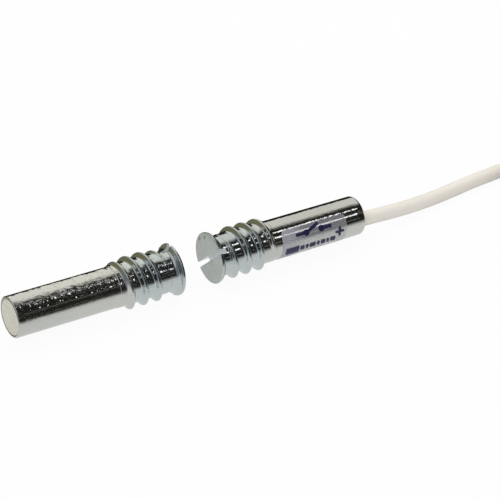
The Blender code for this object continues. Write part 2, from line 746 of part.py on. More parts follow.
def make_conductor(hank, name, aside, above, fan, materials):
    """One conductor from its place in the sheath down to the surface, with its bare tip."""
    start = TAIL_SHEATH + FIT_GAP
    end = TAIL_SHEATH + TAIL_WIRE_LENGTH
    route = [
        (start, aside, CABLE_RADIUS + above),
        (start + 0.15 * TAIL_WIRE_LENGTH, (2 * aside + fan) / 3, CABLE_RADIUS + 0.8 * above),
        (start + 0.45 * TAIL_WIRE_LENGTH, 0.95 * fan, WIRE_RADIUS + FIT_GAP / 2),
        (end, fan, WIRE_RADIUS),
    ]
    points = spline_points(route, 3 * WIRE_RADIUS)
    make_tube("tail_" + name, points, WIRE_RADIUS, materials[name], hank, 1)
    tip_start = end + FIT_GAP
    tip_outline = [
        (tip_start, 0.0),
        (tip_start, BARE_TIP_RADIUS),
        (tip_start + BARE_TIP_LENGTH, BARE_TIP_RADIUS),
        (tip_start + BARE_TIP_LENGTH, 0.0),
    ]
    tip = turned_mesh(tip_outline, TIP_SEGMENTS, (fan, WIRE_RADIUS))
    add_object("tip_" + name, tip, materials["copper"], hank)


def make_magnet(unit, materials):
    """The bar magnet in its shell, held by a resin plug flush with the rear."""
    start, end = MAGNET_BAR_START, MAGNET_PLUG_START - FIT_GAP
    bar_outline = [
        (start, 0.0),
        (start, MAGNET_BAR_RADIUS - MAGNET_BAR_EDGE),
        (start + MAGNET_BAR_EDGE, MAGNET_BAR_RADIUS),
        (end - MAGNET_BAR_EDGE, MAGNET_BAR_RADIUS),
        (end, MAGNET_BAR_RADIUS - MAGNET_BAR_EDGE),
        (end, 0.0),
    ]
    add_object("bar_magnet", turned_mesh(bar_outline, ROUND_SEGMENTS), materials["magnet"], unit)
    radius = MAGNET_BORE_RADIUS - FIT_GAP
    plug_outline = [
        (MAGNET_PLUG_START, 0.0),
        (MAGNET_PLUG_START, radius),
        (UNIT_LENGTH, radius),
        (UNIT_LENGTH, 0.0),
    ]
    add_object("magnet_plug", turned_mesh(plug_outline, ROUND_SEGMENTS), materials["plug"], unit)


def make_materials():
    """One plain material for each kind of surface."""
    return {
        "zinc": make_material("bright_zinc", (0.72, 0.73, 0.70), 0.18, 1.0),
        "glass": make_material("reed_glass", (0.62, 0.80, 0.66), 0.05, 0.0, 0.4),
        "reed": make_material("nickel_iron", (0.60, 0.58, 0.52), 0.30, 1.0),
        "sleeve": make_material("black_sleeve", (0.03, 0.03, 0.03), 0.60),
        "solder": make_material("tin_solder", (0.60, 0.60, 0.60), 0.35, 1.0),
        "resin": make_material("pale_resin", (0.70, 0.72, 0.62), 0.40),
        "plug": make_material("cream_resin", (0.60, 0.58, 0.48), 0.45),
        "magnet": make_material("cast_magnet", (0.30, 0.29, 0.27), 0.45, 1.0),
        "film": make_material("clear_film", (0.80, 0.80, 0.85), 0.15, 0.0, 0.35),
        "cable": make_material("white_sheath", (0.76, 0.72, 0.66), 0.45),
        "tie": make_material("natural_nylon", (0.80, 0.79, 0.74), 0.40),
        "white": make_material("white_core", (0.80, 0.80, 0.80), 0.45),
        "brown": make_material("brown_core", (0.20, 0.10, 0.05), 0.45),
        "green": make_material("green_core", (0.05, 0.30, 0.10), 0.45),
        "yellow": make_material("yellow_core", (0.80, 0.62, 0.05), 0.45),
        "copper": make_material("tinned_copper", (0.70, 0.62, 0.55), 0.35, 1.0),
    }


def main():
    """Build the pair."""
    clear_scene()
    materials = make_materials()
    contact = make_empty("contact_unit", (CONTACT_FACE_X, 0.0, AXIS_HEIGHT))
    magnet = make_empty("magnet_unit", (MAGNET_FACE_X, 0.0, AXIS_HEIGHT), math.pi)
    zinc = materials["zinc"]
    make_shell("contact_housing", contact, CONTACT_SLOT_ANGLE, BORE_RADIUS, CONTACT_EDGE_ROUND, zinc)
    make_reed(contact, materials)
    make_wiring(contact, materials)
    make_potting(contact, materials["resin"])
    add_object("label_film", label_mesh(), materials["film"], contact)
    make_cable(contact, materials)
    make_shell(
        "magnet_housing", magnet, MAGNET_SLOT_ANGLE, MAGNET_BORE_RADIUS, MAGNET_EDGE_ROUND, zinc
    )
    make_magnet(magnet, materials)


main()
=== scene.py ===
"""Looks of a recessed magnetic contact: two threaded shells, a printed film and a tied cable.

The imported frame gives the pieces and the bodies. This script lays finer meshes and procedural
finishes over them and sets up the floor, the light and the camera. Lengths are in metres.
"""
import logging
import math
from collections.abc import Iterator
from contextlib import contextmanager
from dataclasses import dataclass, field, replace
from enum import Enum
from functools import cache

import bmesh
import bpy
from mathutils import Matrix, Vector


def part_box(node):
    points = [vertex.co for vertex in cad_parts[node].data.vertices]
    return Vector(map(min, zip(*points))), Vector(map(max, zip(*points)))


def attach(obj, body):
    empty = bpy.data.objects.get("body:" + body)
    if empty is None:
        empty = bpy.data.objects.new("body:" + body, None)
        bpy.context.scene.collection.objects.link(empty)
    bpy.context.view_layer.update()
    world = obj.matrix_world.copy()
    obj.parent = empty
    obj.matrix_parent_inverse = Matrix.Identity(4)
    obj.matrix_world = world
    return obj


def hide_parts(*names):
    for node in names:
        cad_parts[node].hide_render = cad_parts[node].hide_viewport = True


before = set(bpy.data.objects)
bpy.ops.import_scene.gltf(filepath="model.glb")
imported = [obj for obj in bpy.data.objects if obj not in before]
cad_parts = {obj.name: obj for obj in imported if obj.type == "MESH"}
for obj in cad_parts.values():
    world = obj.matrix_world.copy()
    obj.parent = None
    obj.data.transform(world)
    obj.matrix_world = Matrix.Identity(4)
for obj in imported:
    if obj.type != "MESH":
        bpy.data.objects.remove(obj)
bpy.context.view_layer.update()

MM = 0.001
WHITE = (1.0, 1.0, 1.0)
Point = tuple[float, float, float]
Colour = tuple[float, float, float]
Pair = tuple[float, float]
Piece = bpy.types.Object
Socket = bpy.types.NodeSocket
log = logging.getLogger("magnetic_contact")


class Pigment(Enum):
    """Colours of the four conductors."""

    WHITE = "white"
    BROWN = "brown"
    GREEN = "green"
    YELLOW = "yellow"


class Side(Enum):
    """The two long sides of the hank, seen from the front."""

    NEAR = -1
    FAR = 1


def arc(centre: Pair, radius: float, start: float, end: float, steps: int) -> list[Pair]:
    """Points of a round stretch, with its two angles in degrees."""
    angles = [math.radians(start + (end - start) * i / steps) for i in range(steps + 1)]
    return [(centre[0] + radius * math.cos(a), centre[1] + radius * math.sin(a)) for a in angles]


def evenly(start: float, end: float, step: float) -> list[float]:
    """Places between two ends, both left out, about one step apart."""
    count = max(1, round(abs(end - start) / step))
    return [start + (end - start) * i / count for i in range(1, count)]


def rgba(colour: Colour) -> tuple[float, float, float, float]:
    """A colour with full alpha."""
    return (*colour, 1.0)


class Shader:
    """Builds the node tree of one material, group or world."""

    def __init__(self, tree: bpy.types.NodeTree) -> None:
        """Keep the tree that the nodes go into."""
        self.tree = tree

    def feed(self, target: Socket, value: object) -> None:
        """Link a socket to another node's output, or give it a value of its own."""
        if isinstance(value, Socket):
            self.tree.links.new(value, target)
        else:
            target.default_value = value

    def node(self, kind: str, inputs: dict | None = None, **settings: object) -> bpy.types.Node:
        """Add one node.

        Args:
            kind: The node's type name without its ShaderNode prefix.
            inputs: Socket name or index to a value or to another node's output.
            settings: Properties of the node.

        Returns:
            The new node.
        """
        prefix = "" if kind.startswith("NodeGroup") else "ShaderNode"
        node = self.tree.nodes.new(prefix + kind)
        for name, value in settings.items():
            setattr(node, name, value)
        for name, value in (inputs or {}).items():
            self.feed(node.inputs[name], value)
        return node

    def math(self, operation: str, *values: object) -> Socket:
        """One arithmetic step on numbers or sockets."""
        return self.node("Math", dict(enumerate(values)), operation=operation).outputs[0]

    def product(self, first: Socket, *others: object) -> Socket:
        """Several values multiplied in turn."""
        for other in others:
            first = self.math("MULTIPLY", first, other)
        return first

    def fade(self, value: Socket, low: float, high: float) -> Socket:
        """0 below low and 1 above high, or the other way round, with a soft step between."""
        start, end = (low, high) if low < high else (high, low)
        ends = (0.0, 1.0) if low < high else (1.0, 0.0)
        inputs = {0: value, 1: start, 2: end, 3: ends[0], 4: ends[1]}
        return self.node("MapRange", inputs, interpolation_type="SMOOTHSTEP").outputs[0]

    def ranged(self, value: Socket, low: float, high: float, span: Pair = (0.0, 1.0)) -> Socket:
        """A value's span laid on low to high, and held beyond its ends."""
        inputs = {0: value, 1: span[0], 2: span[1], 3: low, 4: high}
        return self.node("MapRange", inputs).outputs[0]

    def noise(self, vector: Socket, scale: object, detail: float, blend: float = 0.5) -> Socket:
        """A noise value from 0 to 1."""
        inputs = {"Vector": vector, "Scale": scale, "Detail": detail, "Roughness": blend}
        return self.node("TexNoise", inputs).outputs["Fac"]

    def stretched(self, vector: Socket, scale: Point) -> Socket:
        """The coordinates scaled by a different amount along each axis."""
        return self.node("Mapping", {"Vector": vector, "Scale": scale}).outputs[0]

    def axes(self, vector: Socket) -> bpy.types.bpy_prop_collection:
        """The three parts of a vector, by their letters."""
        return self.node("SeparateXYZ", {"Vector": vector}).outputs

    def about(self, vector: Socket, axis_height: float) -> Socket:
        """Angle about an axis that runs along X at a height, from +Y towards +Z."""
        axes = self.axes(vector)
        return self.math("ARCTAN2", self.math("SUBTRACT", axes["Z"], axis_height), axes["Y"])

    def mixed(self, share: Socket, first: object, second: object) -> Socket:
        """Two colours mixed by a share."""
        inputs = {0: share, 6: first, 7: second}
        return self.node("Mix", inputs, data_type="RGBA").outputs[2]

    def blended(self, share: Socket, first: Socket, second: Socket) -> Socket:
        """Two shaders mixed by a share."""
        return self.node("MixShader", {0: share, 1: first, 2: second}).outputs[0]

    def background(self, colour: object, strength: float = 1.0) -> Socket:
        """Light of one colour from the world."""
        return self.node("Background", {"Color": colour, "Strength": strength}).outputs[0]

    def bump(self, height: Socket, distance: float, strength: float = 1.0) -> Socket:
        """A normal that a height bends."""
        inputs = {"Height": height, "Distance": distance, "Strength": strength}
        return self.node("Bump", inputs).outputs[0]


class SharedEffects:
    """Shader node groups that all finishes use, each built once."""

    coarse_scale = 0.14
    fine_share, coarse_share = 0.6, 0.4
    tone_fade = (0.35, 0.65)

    @staticmethod
    def start(name: str, inputs: dict[str, str], outputs: dict[str, str]) -> tuple:
        """Make a group with named inputs and outputs.

        Args:
            name: The group's name.
            inputs: Kind of each incoming socket by its name.
            outputs: Kind of each outgoing socket by its name.

        Returns:
            A builder for the group's tree, and the incoming sockets.
        """
        tree = bpy.data.node_groups.new(name, "ShaderNodeTree")
        for direction, sockets in (("INPUT", inputs), ("OUTPUT", outputs)):
            for socket, kind in sockets.items():
                tree.interface.new_socket(
                    name=socket, in_out=direction, socket_type="NodeSocket" + kind
                )
        kit = Shader(tree)
        return kit, kit.node("NodeGroupInput").outputs

    @staticmethod
    @cache
    def grain() -> bpy.types.NodeTree:
        """Fine unevenness: a roughness that varies, and a height for a bump."""
        inputs = {"Vector": "Vector", "Scale": "Float", "Roughness": "Float", "Swing": "Float"}
        outputs = {"Roughness": "Float", "Height": "Float"}
        effects = SharedEffects
        kit, given = effects.start("grain", inputs, outputs)
        fine = kit.noise(given["Vector"], given["Scale"], 4.0)
        wider = kit.product(given["Scale"], effects.coarse_scale)
        coarse = kit.noise(given["Vector"], wider, 2.0)
        swing = kit.product(kit.math("SUBTRACT", coarse, 0.5), given["Swing"])
        roughness = kit.math("ADD", given["Roughness"], swing)
        shares = kit.product(fine, effects.fine_share), kit.product(coarse, effects.coarse_share)
        height = kit.math("ADD", *shares)
        kit.node("NodeGroupOutput", {"Roughness": roughness, "Height": height})
        return kit.tree

    @staticmethod
    @cache
    def drift() -> bpy.types.NodeTree:
        """A colour that drifts between two tones over the surface."""
        inputs = {"Vector": "Vector", "Scale": "Float", "First": "Color", "Second": "Color"}
        kit, given = SharedEffects.start("drift", inputs, {"Color": "Color"})
        cloud = kit.noise(given["Vector"], given["Scale"], 3.0)
        share = kit.fade(cloud, *SharedEffects.tone_fade)
        kit.node("NodeGroupOutput", {"Color": kit.mixed(share, given["First"], given["Second"])})
        return kit.tree


@dataclass(frozen=True)
class Finish:
    """A surface finish: two tones that drift into each other, and a fine grain."""

    name: str
    first: Colour
    second: Colour
    roughness: float
    swing: float = 0.08
    metallic: float = 0.0
    tone_scale: float = 150.0
    grain_scale: float = 900.0
    relief: float = 0.02
    relief_depth: float = 0.05 * MM
    coat: float = 0.0
    coat_roughness: float = 0.08
    transmission: float = 0.0
    translucency: float = 0.0
    scatter: Point = (1.2 * MM, 1.0 * MM, 0.8 * MM)
    alpha: float = 1.0

    def colour(self, kit: Shader, place: Socket) -> Socket:
        """The two tones, drifting over the surface."""
        tones = {"First": rgba(self.first), "Second": rgba(self.second)}
        inputs = {"Vector": place, "Scale": self.tone_scale, **tones}
        return kit.node("Group", inputs, node_tree=SharedEffects.drift()).outputs["Color"]

    def normal(self, kit: Shader, place: Socket, grain: Socket) -> Socket:
        """The surface's small relief: its grain."""
        return kit.bump(grain, self.relief_depth, self.relief)

    def clearness(self, kit: Shader, place: Socket) -> Socket | float:
        """How solid the surface is, from 0 to 1."""
        return self.alpha

    @cache
    def material(self) -> bpy.types.Material:
        """Build the material, once for all the pieces that share it.

        Returns:
            The Principled material of this finish.
        """
        material = bpy.data.materials.new(self.name)
        material.use_nodes = True
        kit = Shader(material.node_tree)
        place = kit.node("TexCoord").outputs["Object"]
        inputs = {"Scale": self.grain_scale, "Roughness": self.roughness, "Swing": self.swing}
        inputs["Vector"] = place
        grain = kit.node("Group", inputs, node_tree=SharedEffects.grain()).outputs
        values = {
            "Base Color": self.colour(kit, place),
            "Roughness": grain["Roughness"],
            "Normal": self.normal(kit, place, grain["Height"]),
            "Metallic": self.metallic,
            "Coat Weight": self.coat,
            "Coat Roughness": self.coat_roughness,
            "Transmission Weight": self.transmission,
            "Subsurface Weight": self.translucency,
            "Subsurface Radius": self.scatter,
            "Subsurface Scale": 1.0,
            "Alpha": self.clearness(kit, place),
        }
        shader = material.node_tree.nodes["Principled BSDF"]
        for name, value in values.items():
            kit.feed(shader.inputs[name], value)
        return material


@dataclass(frozen=True)
class ZincFinish(Finish):
    """Bright zinc plate over a slightly uneven casting, with a painted darker, bluish reflection
    tone on the threaded neck.

    The unevenness is a speckle that comes in patches, calmer where the shell faces forward.
    """

    # Painted reflection: a darker, bluish tint on the threaded neck that stands in for the thread's
    # darker, bluer reflections.
    neck_reflection_tint: Colour = (0.66, 0.71, 0.72)
    neck_reach: float = 13.6 * MM
    neck_fade: float = 2.2 * MM
    speckle_scale: float = 1500.0
    speckle_detail: float = 1.6
    patch_scale: float = 420.0
    patch_span: Pair = (0.36, 0.62)
    calm: float = 0.2
    calm_front: float = 0.3
    calm_angles: Pair = (math.radians(152), math.radians(128))
    axis_height: float = 5.15 * MM
    body_depth: float = 0.05 * MM
    neck_depth: float = 0.02 * MM

    def on_neck(self, kit: Shader, place: Socket) -> Socket:
        """1 from the flange to the thread's end, 0 on the plain body."""
        along = kit.math("ABSOLUTE", kit.axes(place)["X"])
        return kit.fade(along, self.neck_reach + self.neck_fade, self.neck_reach)

    def colour(self, kit: Shader, place: Socket) -> Socket:
        """The plate's own tones, with the painted darker, bluish reflection tone on the neck."""
        return kit.mixed(
            self.on_neck(kit, place), super().colour(kit, place), rgba(self.neck_reflection_tint)
        )

    def normal(self, kit: Shader, place: Socket, grain: Socket) -> Socket:
        """The casting's speckle, with its patches, its calm front and its smoother neck."""
        speckle = kit.noise(place, self.speckle_scale, self.speckle_detail)
        patches = kit.noise(place, self.patch_scale, 2.0, 0.55)
        patch = kit.ranged(patches, self.calm, 1.0, self.patch_span)
        depth = kit.ranged(self.on_neck(kit, place), 1.0, self.neck_depth / self.body_depth)
        side = kit.fade(kit.about(place, self.axis_height), *self.calm_angles)
        share = kit.product(patch, depth, kit.ranged(side, self.calm_front, 1.0))
        return kit.bump(kit.product(speckle, share), self.body_depth)


@dataclass(frozen=True)
class CastFaceFinish(Finish):
    """The flange's flat face: plated too, but dull, with faint upright milling streaks."""

    streak_scale: float = 2600.0
    streak_stretch: Point = (1.0, 1.0, 0.12)

    def normal(self, kit: Shader, place: Socket, grain: Socket) -> Socket:
        """The streaks that the milling left."""
        streaks = kit.noise(kit.stretched(place, self.streak_stretch), self.streak_scale, 3.0, 0.55)
        return kit.bump(streaks, self.relief_depth, self.relief)


@dataclass(frozen=True)
class FilmFinish(Finish):
    """Thin clear film, crinkled along its upper edge and a little milky at its front end."""

    axis_height: float = 5.15 * MM
    crinkle_scale: float = 1300.0
    crinkle_stretch: Point = (0.7, 1.0, 1.0)
    crinkle_depth: float = 0.07 * MM
    crinkled_angles: Pair = (math.radians(147), math.radians(134))
    calm_share: float = 0.12
    milky_stretch: Pair = (24.0 * MM, 20.5 * MM)
    clear_alpha: float = 0.14

    def normal(self, kit: Shader, place: Socket, grain: Socket) -> Socket:
        """Crinkles at the upper edge, and a trace of them elsewhere."""
        upper = kit.fade(kit.about(place, self.axis_height), *self.crinkled_angles)
        stretched = kit.stretched(place, self.crinkle_stretch)
        crinkle = kit.noise(stretched, self.crinkle_scale, 3.0, 0.6)
        share = kit.math("MAXIMUM", upper, self.calm_share)
        return kit.bump(kit.product(crinkle, share), self.crinkle_depth)

    def clearness(self, kit: Shader, place: Socket) -> Socket:
        """Clear, but milky towards the front end."""
        milky = kit.fade(kit.axes(place)["X"], *self.milky_stretch)
        return kit.ranged(milky, self.clear_alpha, self.alpha)


class Finishes:
    """The finishes of this product, by their names in the record."""

    contact_zinc = ZincFinish(
        "bright_zinc", (0.74, 0.745, 0.71), (0.70, 0.705, 0.68), 0.08, 0.05, 1.0,
        body_depth=0.036 * MM, neck_depth=0.022 * MM,
    )
    magnet_zinc = replace(
        contact_zinc, name="speckled_zinc", body_depth=0.10 * MM, neck_depth=0.08 * MM
    )
    cast_face = CastFaceFinish(
        "dull_zinc_face", (0.63, 0.665, 0.65), (0.59, 0.625, 0.61), 0.42, 0.08, 0.5,
        tone_scale=420.0, relief=0.5, relief_depth=0.012 * MM,
    )
    film = FilmFinish("clear_film", (0.62, 0.62, 0.68), (0.56, 0.56, 0.62), 0.10, 0.05, alpha=0.30)
    print_ink = Finish("navy_print", (0.010, 0.008, 0.060), (0.016, 0.012, 0.078), 0.45)
    sheath = Finish(
        "warm_white_sheath", (0.81, 0.77, 0.705), (0.79, 0.745, 0.69), 0.46, 0.10,
        tone_scale=90.0, grain_scale=1600.0, relief=0.10, relief_depth=0.01 * MM, translucency=0.15,
    )
    resin = Finish(
        "pale_resin", (0.62, 0.66, 0.54), (0.56, 0.60, 0.47), 0.30, 0.10,
        grain_scale=500.0, relief=0.25, relief_depth=0.04 * MM, translucency=0.2, coat=0.3,
    )
    plug = Finish(
        "cream_plug", (0.66, 0.645, 0.555), (0.62, 0.60, 0.51), 0.5, 0.12,
        tone_scale=700.0, grain_scale=1700.0, relief=0.15, relief_depth=0.02 * MM,
    )
    nylon = Finish(
        "natural_nylon", (0.78, 0.77, 0.71), (0.74, 0.73, 0.66), 0.36, 0.10,
        relief=0.06, translucency=0.35,
    )
    reed_glass = Finish(
        "reed_glass_green", (0.70, 0.90, 0.74), (0.64, 0.86, 0.70), 0.05, 0.02, transmission=0.9
    )
    reed_metal = Finish("nickel_iron", (0.60, 0.58, 0.53), (0.52, 0.50, 0.45), 0.30, 0.1, 1.0)
    sleeve = Finish("black_sleeve", (0.028, 0.028, 0.03), (0.04, 0.04, 0.042), 0.6, relief=0.1)
    solder = Finish(
        "tin_solder", (0.64, 0.64, 0.64), (0.52, 0.52, 0.53), 0.28, 0.2, 1.0, relief=0.2
    )
    strand = Finish("tinned_copper", (0.74, 0.66, 0.58), (0.62, 0.50, 0.42), 0.34, 0.12, 1.0)
    cast_magnet = Finish(
        "cast_magnet", (0.30, 0.29, 0.27), (0.22, 0.215, 0.20), 0.5, 0.15, 0.9, relief=0.25
    )
    cores = {
        Pigment.WHITE: Finish("white_core", (0.78, 0.78, 0.77), (0.72, 0.72, 0.71), 0.38),
        Pigment.BROWN: Finish("brown_core", (0.17, 0.075, 0.035), (0.13, 0.055, 0.025), 0.38),
        Pigment.GREEN: Finish("green_core", (0.045, 0.27, 0.085), (0.035, 0.21, 0.07), 0.38),
        Pigment.YELLOW: Finish("yellow_core", (0.80, 0.60, 0.04), (0.72, 0.52, 0.03), 0.38),
    }


class Bench:
    """Small helpers round the modelling operators, used by every sub-assembly."""

    @staticmethod
    def clear_selection() -> None:
        """Deselect every object."""
        bpy.ops.object.select_all(action="DESELECT")

    @staticmethod
    def take(piece: Piece) -> None:
        """Make one object the only selected and the active one."""
        Bench.clear_selection()
        piece.select_set(True)
        bpy.context.view_layer.objects.active = piece

    @staticmethod
    @contextmanager
    def editing(piece: Piece, elements: str = "VERT") -> Iterator[None]:
        """Edit one mesh, all of it selected, by its vertices or edges."""
        Bench.take(piece)
        bpy.ops.object.mode_set(mode="EDIT")
        bpy.ops.mesh.select_mode(type=elements)
        bpy.ops.mesh.select_all(action="SELECT")
        yield
        bpy.ops.object.mode_set(mode="OBJECT")

    @staticmethod
    def face_out() -> None:
        """Turn all faces of the edited mesh outwards."""
        bpy.ops.mesh.select_all(action="SELECT")
        bpy.ops.mesh.normals_make_consistent(inside=False)

    @staticmethod
    def lathe(name: str, outline: list[Pair], segments: int) -> Piece:
        """Draw an outline point by point and spin it about the X axis.

        Args:
            name: Name of the new object.
            outline: (x, radius) points, closed or running from axis to axis.
            segments: Number of steps round the axis.

        Returns:
            The turned object, with its doubles merged and its faces pointing out.
        """
        Bench.clear_selection()
        bpy.ops.mesh.primitive_circle_add(vertices=3, radius=MM)
        piece = bpy.context.object
        piece.name = name
        with Bench.editing(piece):
            bpy.ops.mesh.merge(type="CENTER")
            x, radius = outline[0]
            bpy.ops.transform.translate(value=(x, radius, 0.0))
            for next_x, next_radius in outline[1:]:
                step = (next_x - x, next_radius - radius, 0.0)
                bpy.ops.mesh.extrude_vertices_move(TRANSFORM_OT_translate={"value": step})
                x, radius = next_x, next_radius
            bpy.ops.mesh.select_all(action="SELECT")
            bpy.ops.mesh.spin(
                steps=segments, angle=2 * math.pi, center=(0.0, 0.0, 0.0), axis=(1.0, 0.0, 0.0)
            )
            bpy.ops.mesh.select_all(action="SELECT")
            bpy.ops.mesh.remove_doubles(threshold=1e-7)
            Bench.face_out()
        return piece

    @staticmethod
    def block(size: Point, at: Point = (0.0, 0.0, 0.0)) -> Piece:
        """A box with its size and its place in its mesh."""
        Bench.clear_selection()
        bpy.ops.mesh.primitive_cube_add(size=1.0, location=at)
        block = bpy.context.object
        block.scale = size
        bpy.ops.object.transform_apply(location=True, rotation=True, scale=True)
        return block

    @staticmethod
    def apply(piece: Piece, kind: str, **settings: object) -> None:
        """Add one modifier with its settings and apply it."""
        Bench.take(piece)
        modifier = piece.modifiers.new(kind.lower(), kind)
        for name, value in settings.items():
            setattr(modifier, name, value)
        bpy.ops.object.modifier_apply(modifier=modifier.name)

    @staticmethod
    def cut(piece: Piece, cutter: Piece) -> None:
        """Cut one object with another, which is then deleted."""
        Bench.apply(piece, "BOOLEAN", operation="DIFFERENCE", object=cutter, solver="EXACT")
        bpy.data.objects.remove(cutter, do_unlink=True)

    @staticmethod
    def join(pieces: list[Piece], name: str) -> Piece:
        """Join several objects into the first one, under a new name."""
        Bench.take(pieces[0])
        for piece in pieces[1:]:
            piece.select_set(True)
        bpy.ops.object.join()
        pieces[0].name = name
        return pieces[0]

    @staticmethod
    def finish(piece: Piece, place: Matrix, degrees: float, finish: Finish | None = None) -> None:
        """Shade a mesh, lay it at its place and give it its finish.

        Args:
            piece: The object, which is left at the origin.
            place: From the mesh's own frame to its place.
            degrees: Edges sharper than this stay sharp.
            finish: The finish, unless its faces have theirs already.
        """
        Bench.take(piece)
        bpy.ops.object.shade_smooth_by_angle(angle=math.radians(degrees))
        piece.data.transform(place @ piece.matrix_world)
        piece.matrix_world = Matrix()
        piece.data.update()
        if finish:
            piece.data.materials.append(finish.material())

    @staticmethod
    def place_in_record(piece: Piece, body: str, slot: str, nodes: list[str]) -> None:
        """Hang a finished piece on its body's empty, hide the frame's parts that it replaces, and
        log its slot.
        """
        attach(piece, body)
        if nodes:
            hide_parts(*nodes)
        log.info("%s: %s on %s", piece.name, slot, body)


@dataclass
class PhotoCamera:
    """The camera at the photograph's viewing angle, level and without shift."""

    azimuth: float = math.radians(-32.24)
    elevation: float = math.radians(28.21)
    distance: float = 365.9 * MM
    focal_pixels: float = 1867.0
    frame_pixels: float = 500.0
    sensor: float = 36.0
    clip: Pair = (0.01, 10.0)
    aim: Vector = field(default_factory=lambda: Vector((13.23, 0.0, 4.29)) * MM)

    def build(self) -> None:
        """Make the camera and set it as the scene's own."""
        flat = math.cos(self.elevation)
        right, front = math.sin(self.azimuth) * flat, -math.cos(self.azimuth) * flat
        back = Vector((right, front, math.sin(self.elevation)))
        data = bpy.data.cameras.new("photo_camera")
        data.sensor_width = self.sensor
        data.lens = self.sensor * self.focal_pixels / self.frame_pixels
        data.clip_start, data.clip_end = self.clip
        camera = bpy.data.objects.new("photo_camera", data)
        camera.location = self.aim + back * self.distance
        camera.rotation_euler = (-back).to_track_quat("-Z", "Y").to_euler()
        bpy.context.collection.objects.link(camera)
        bpy.context.scene.camera = camera


@dataclass(frozen=True)
class Plan:
    """Where the frame has the two units, and the sizes that their pieces share."""

    contact_face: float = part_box("contact_housing")[0][0]
    magnet_face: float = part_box("magnet_housing")[1][0]
    axis_height: float = (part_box("contact_housing")[0][2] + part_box("contact_housing")[1][2]) / 2
    unit_length: float = 34.4 * MM
    body_radius: float = 4.0 * MM
    contact_bore: float = 3.3 * MM
    magnet_bore: float = 3.6 * MM
    cable_radius: float = 1.5 * MM
    cable_drop: float = 1.45 * MM

    def contact(self) -> Matrix:
        """From a shell's own frame to the contact unit's place."""
        return Matrix.Translation((self.contact_face, 0.0, self.axis_height))

    def magnet(self) -> Matrix:
        """From a shell's own frame to the magnet unit's place, turned to face the contact."""
        turned = Matrix.Rotation(math.pi, 4, "Z")
        return Matrix.Translation((self.magnet_face, 0.0, self.axis_height)) @ turned


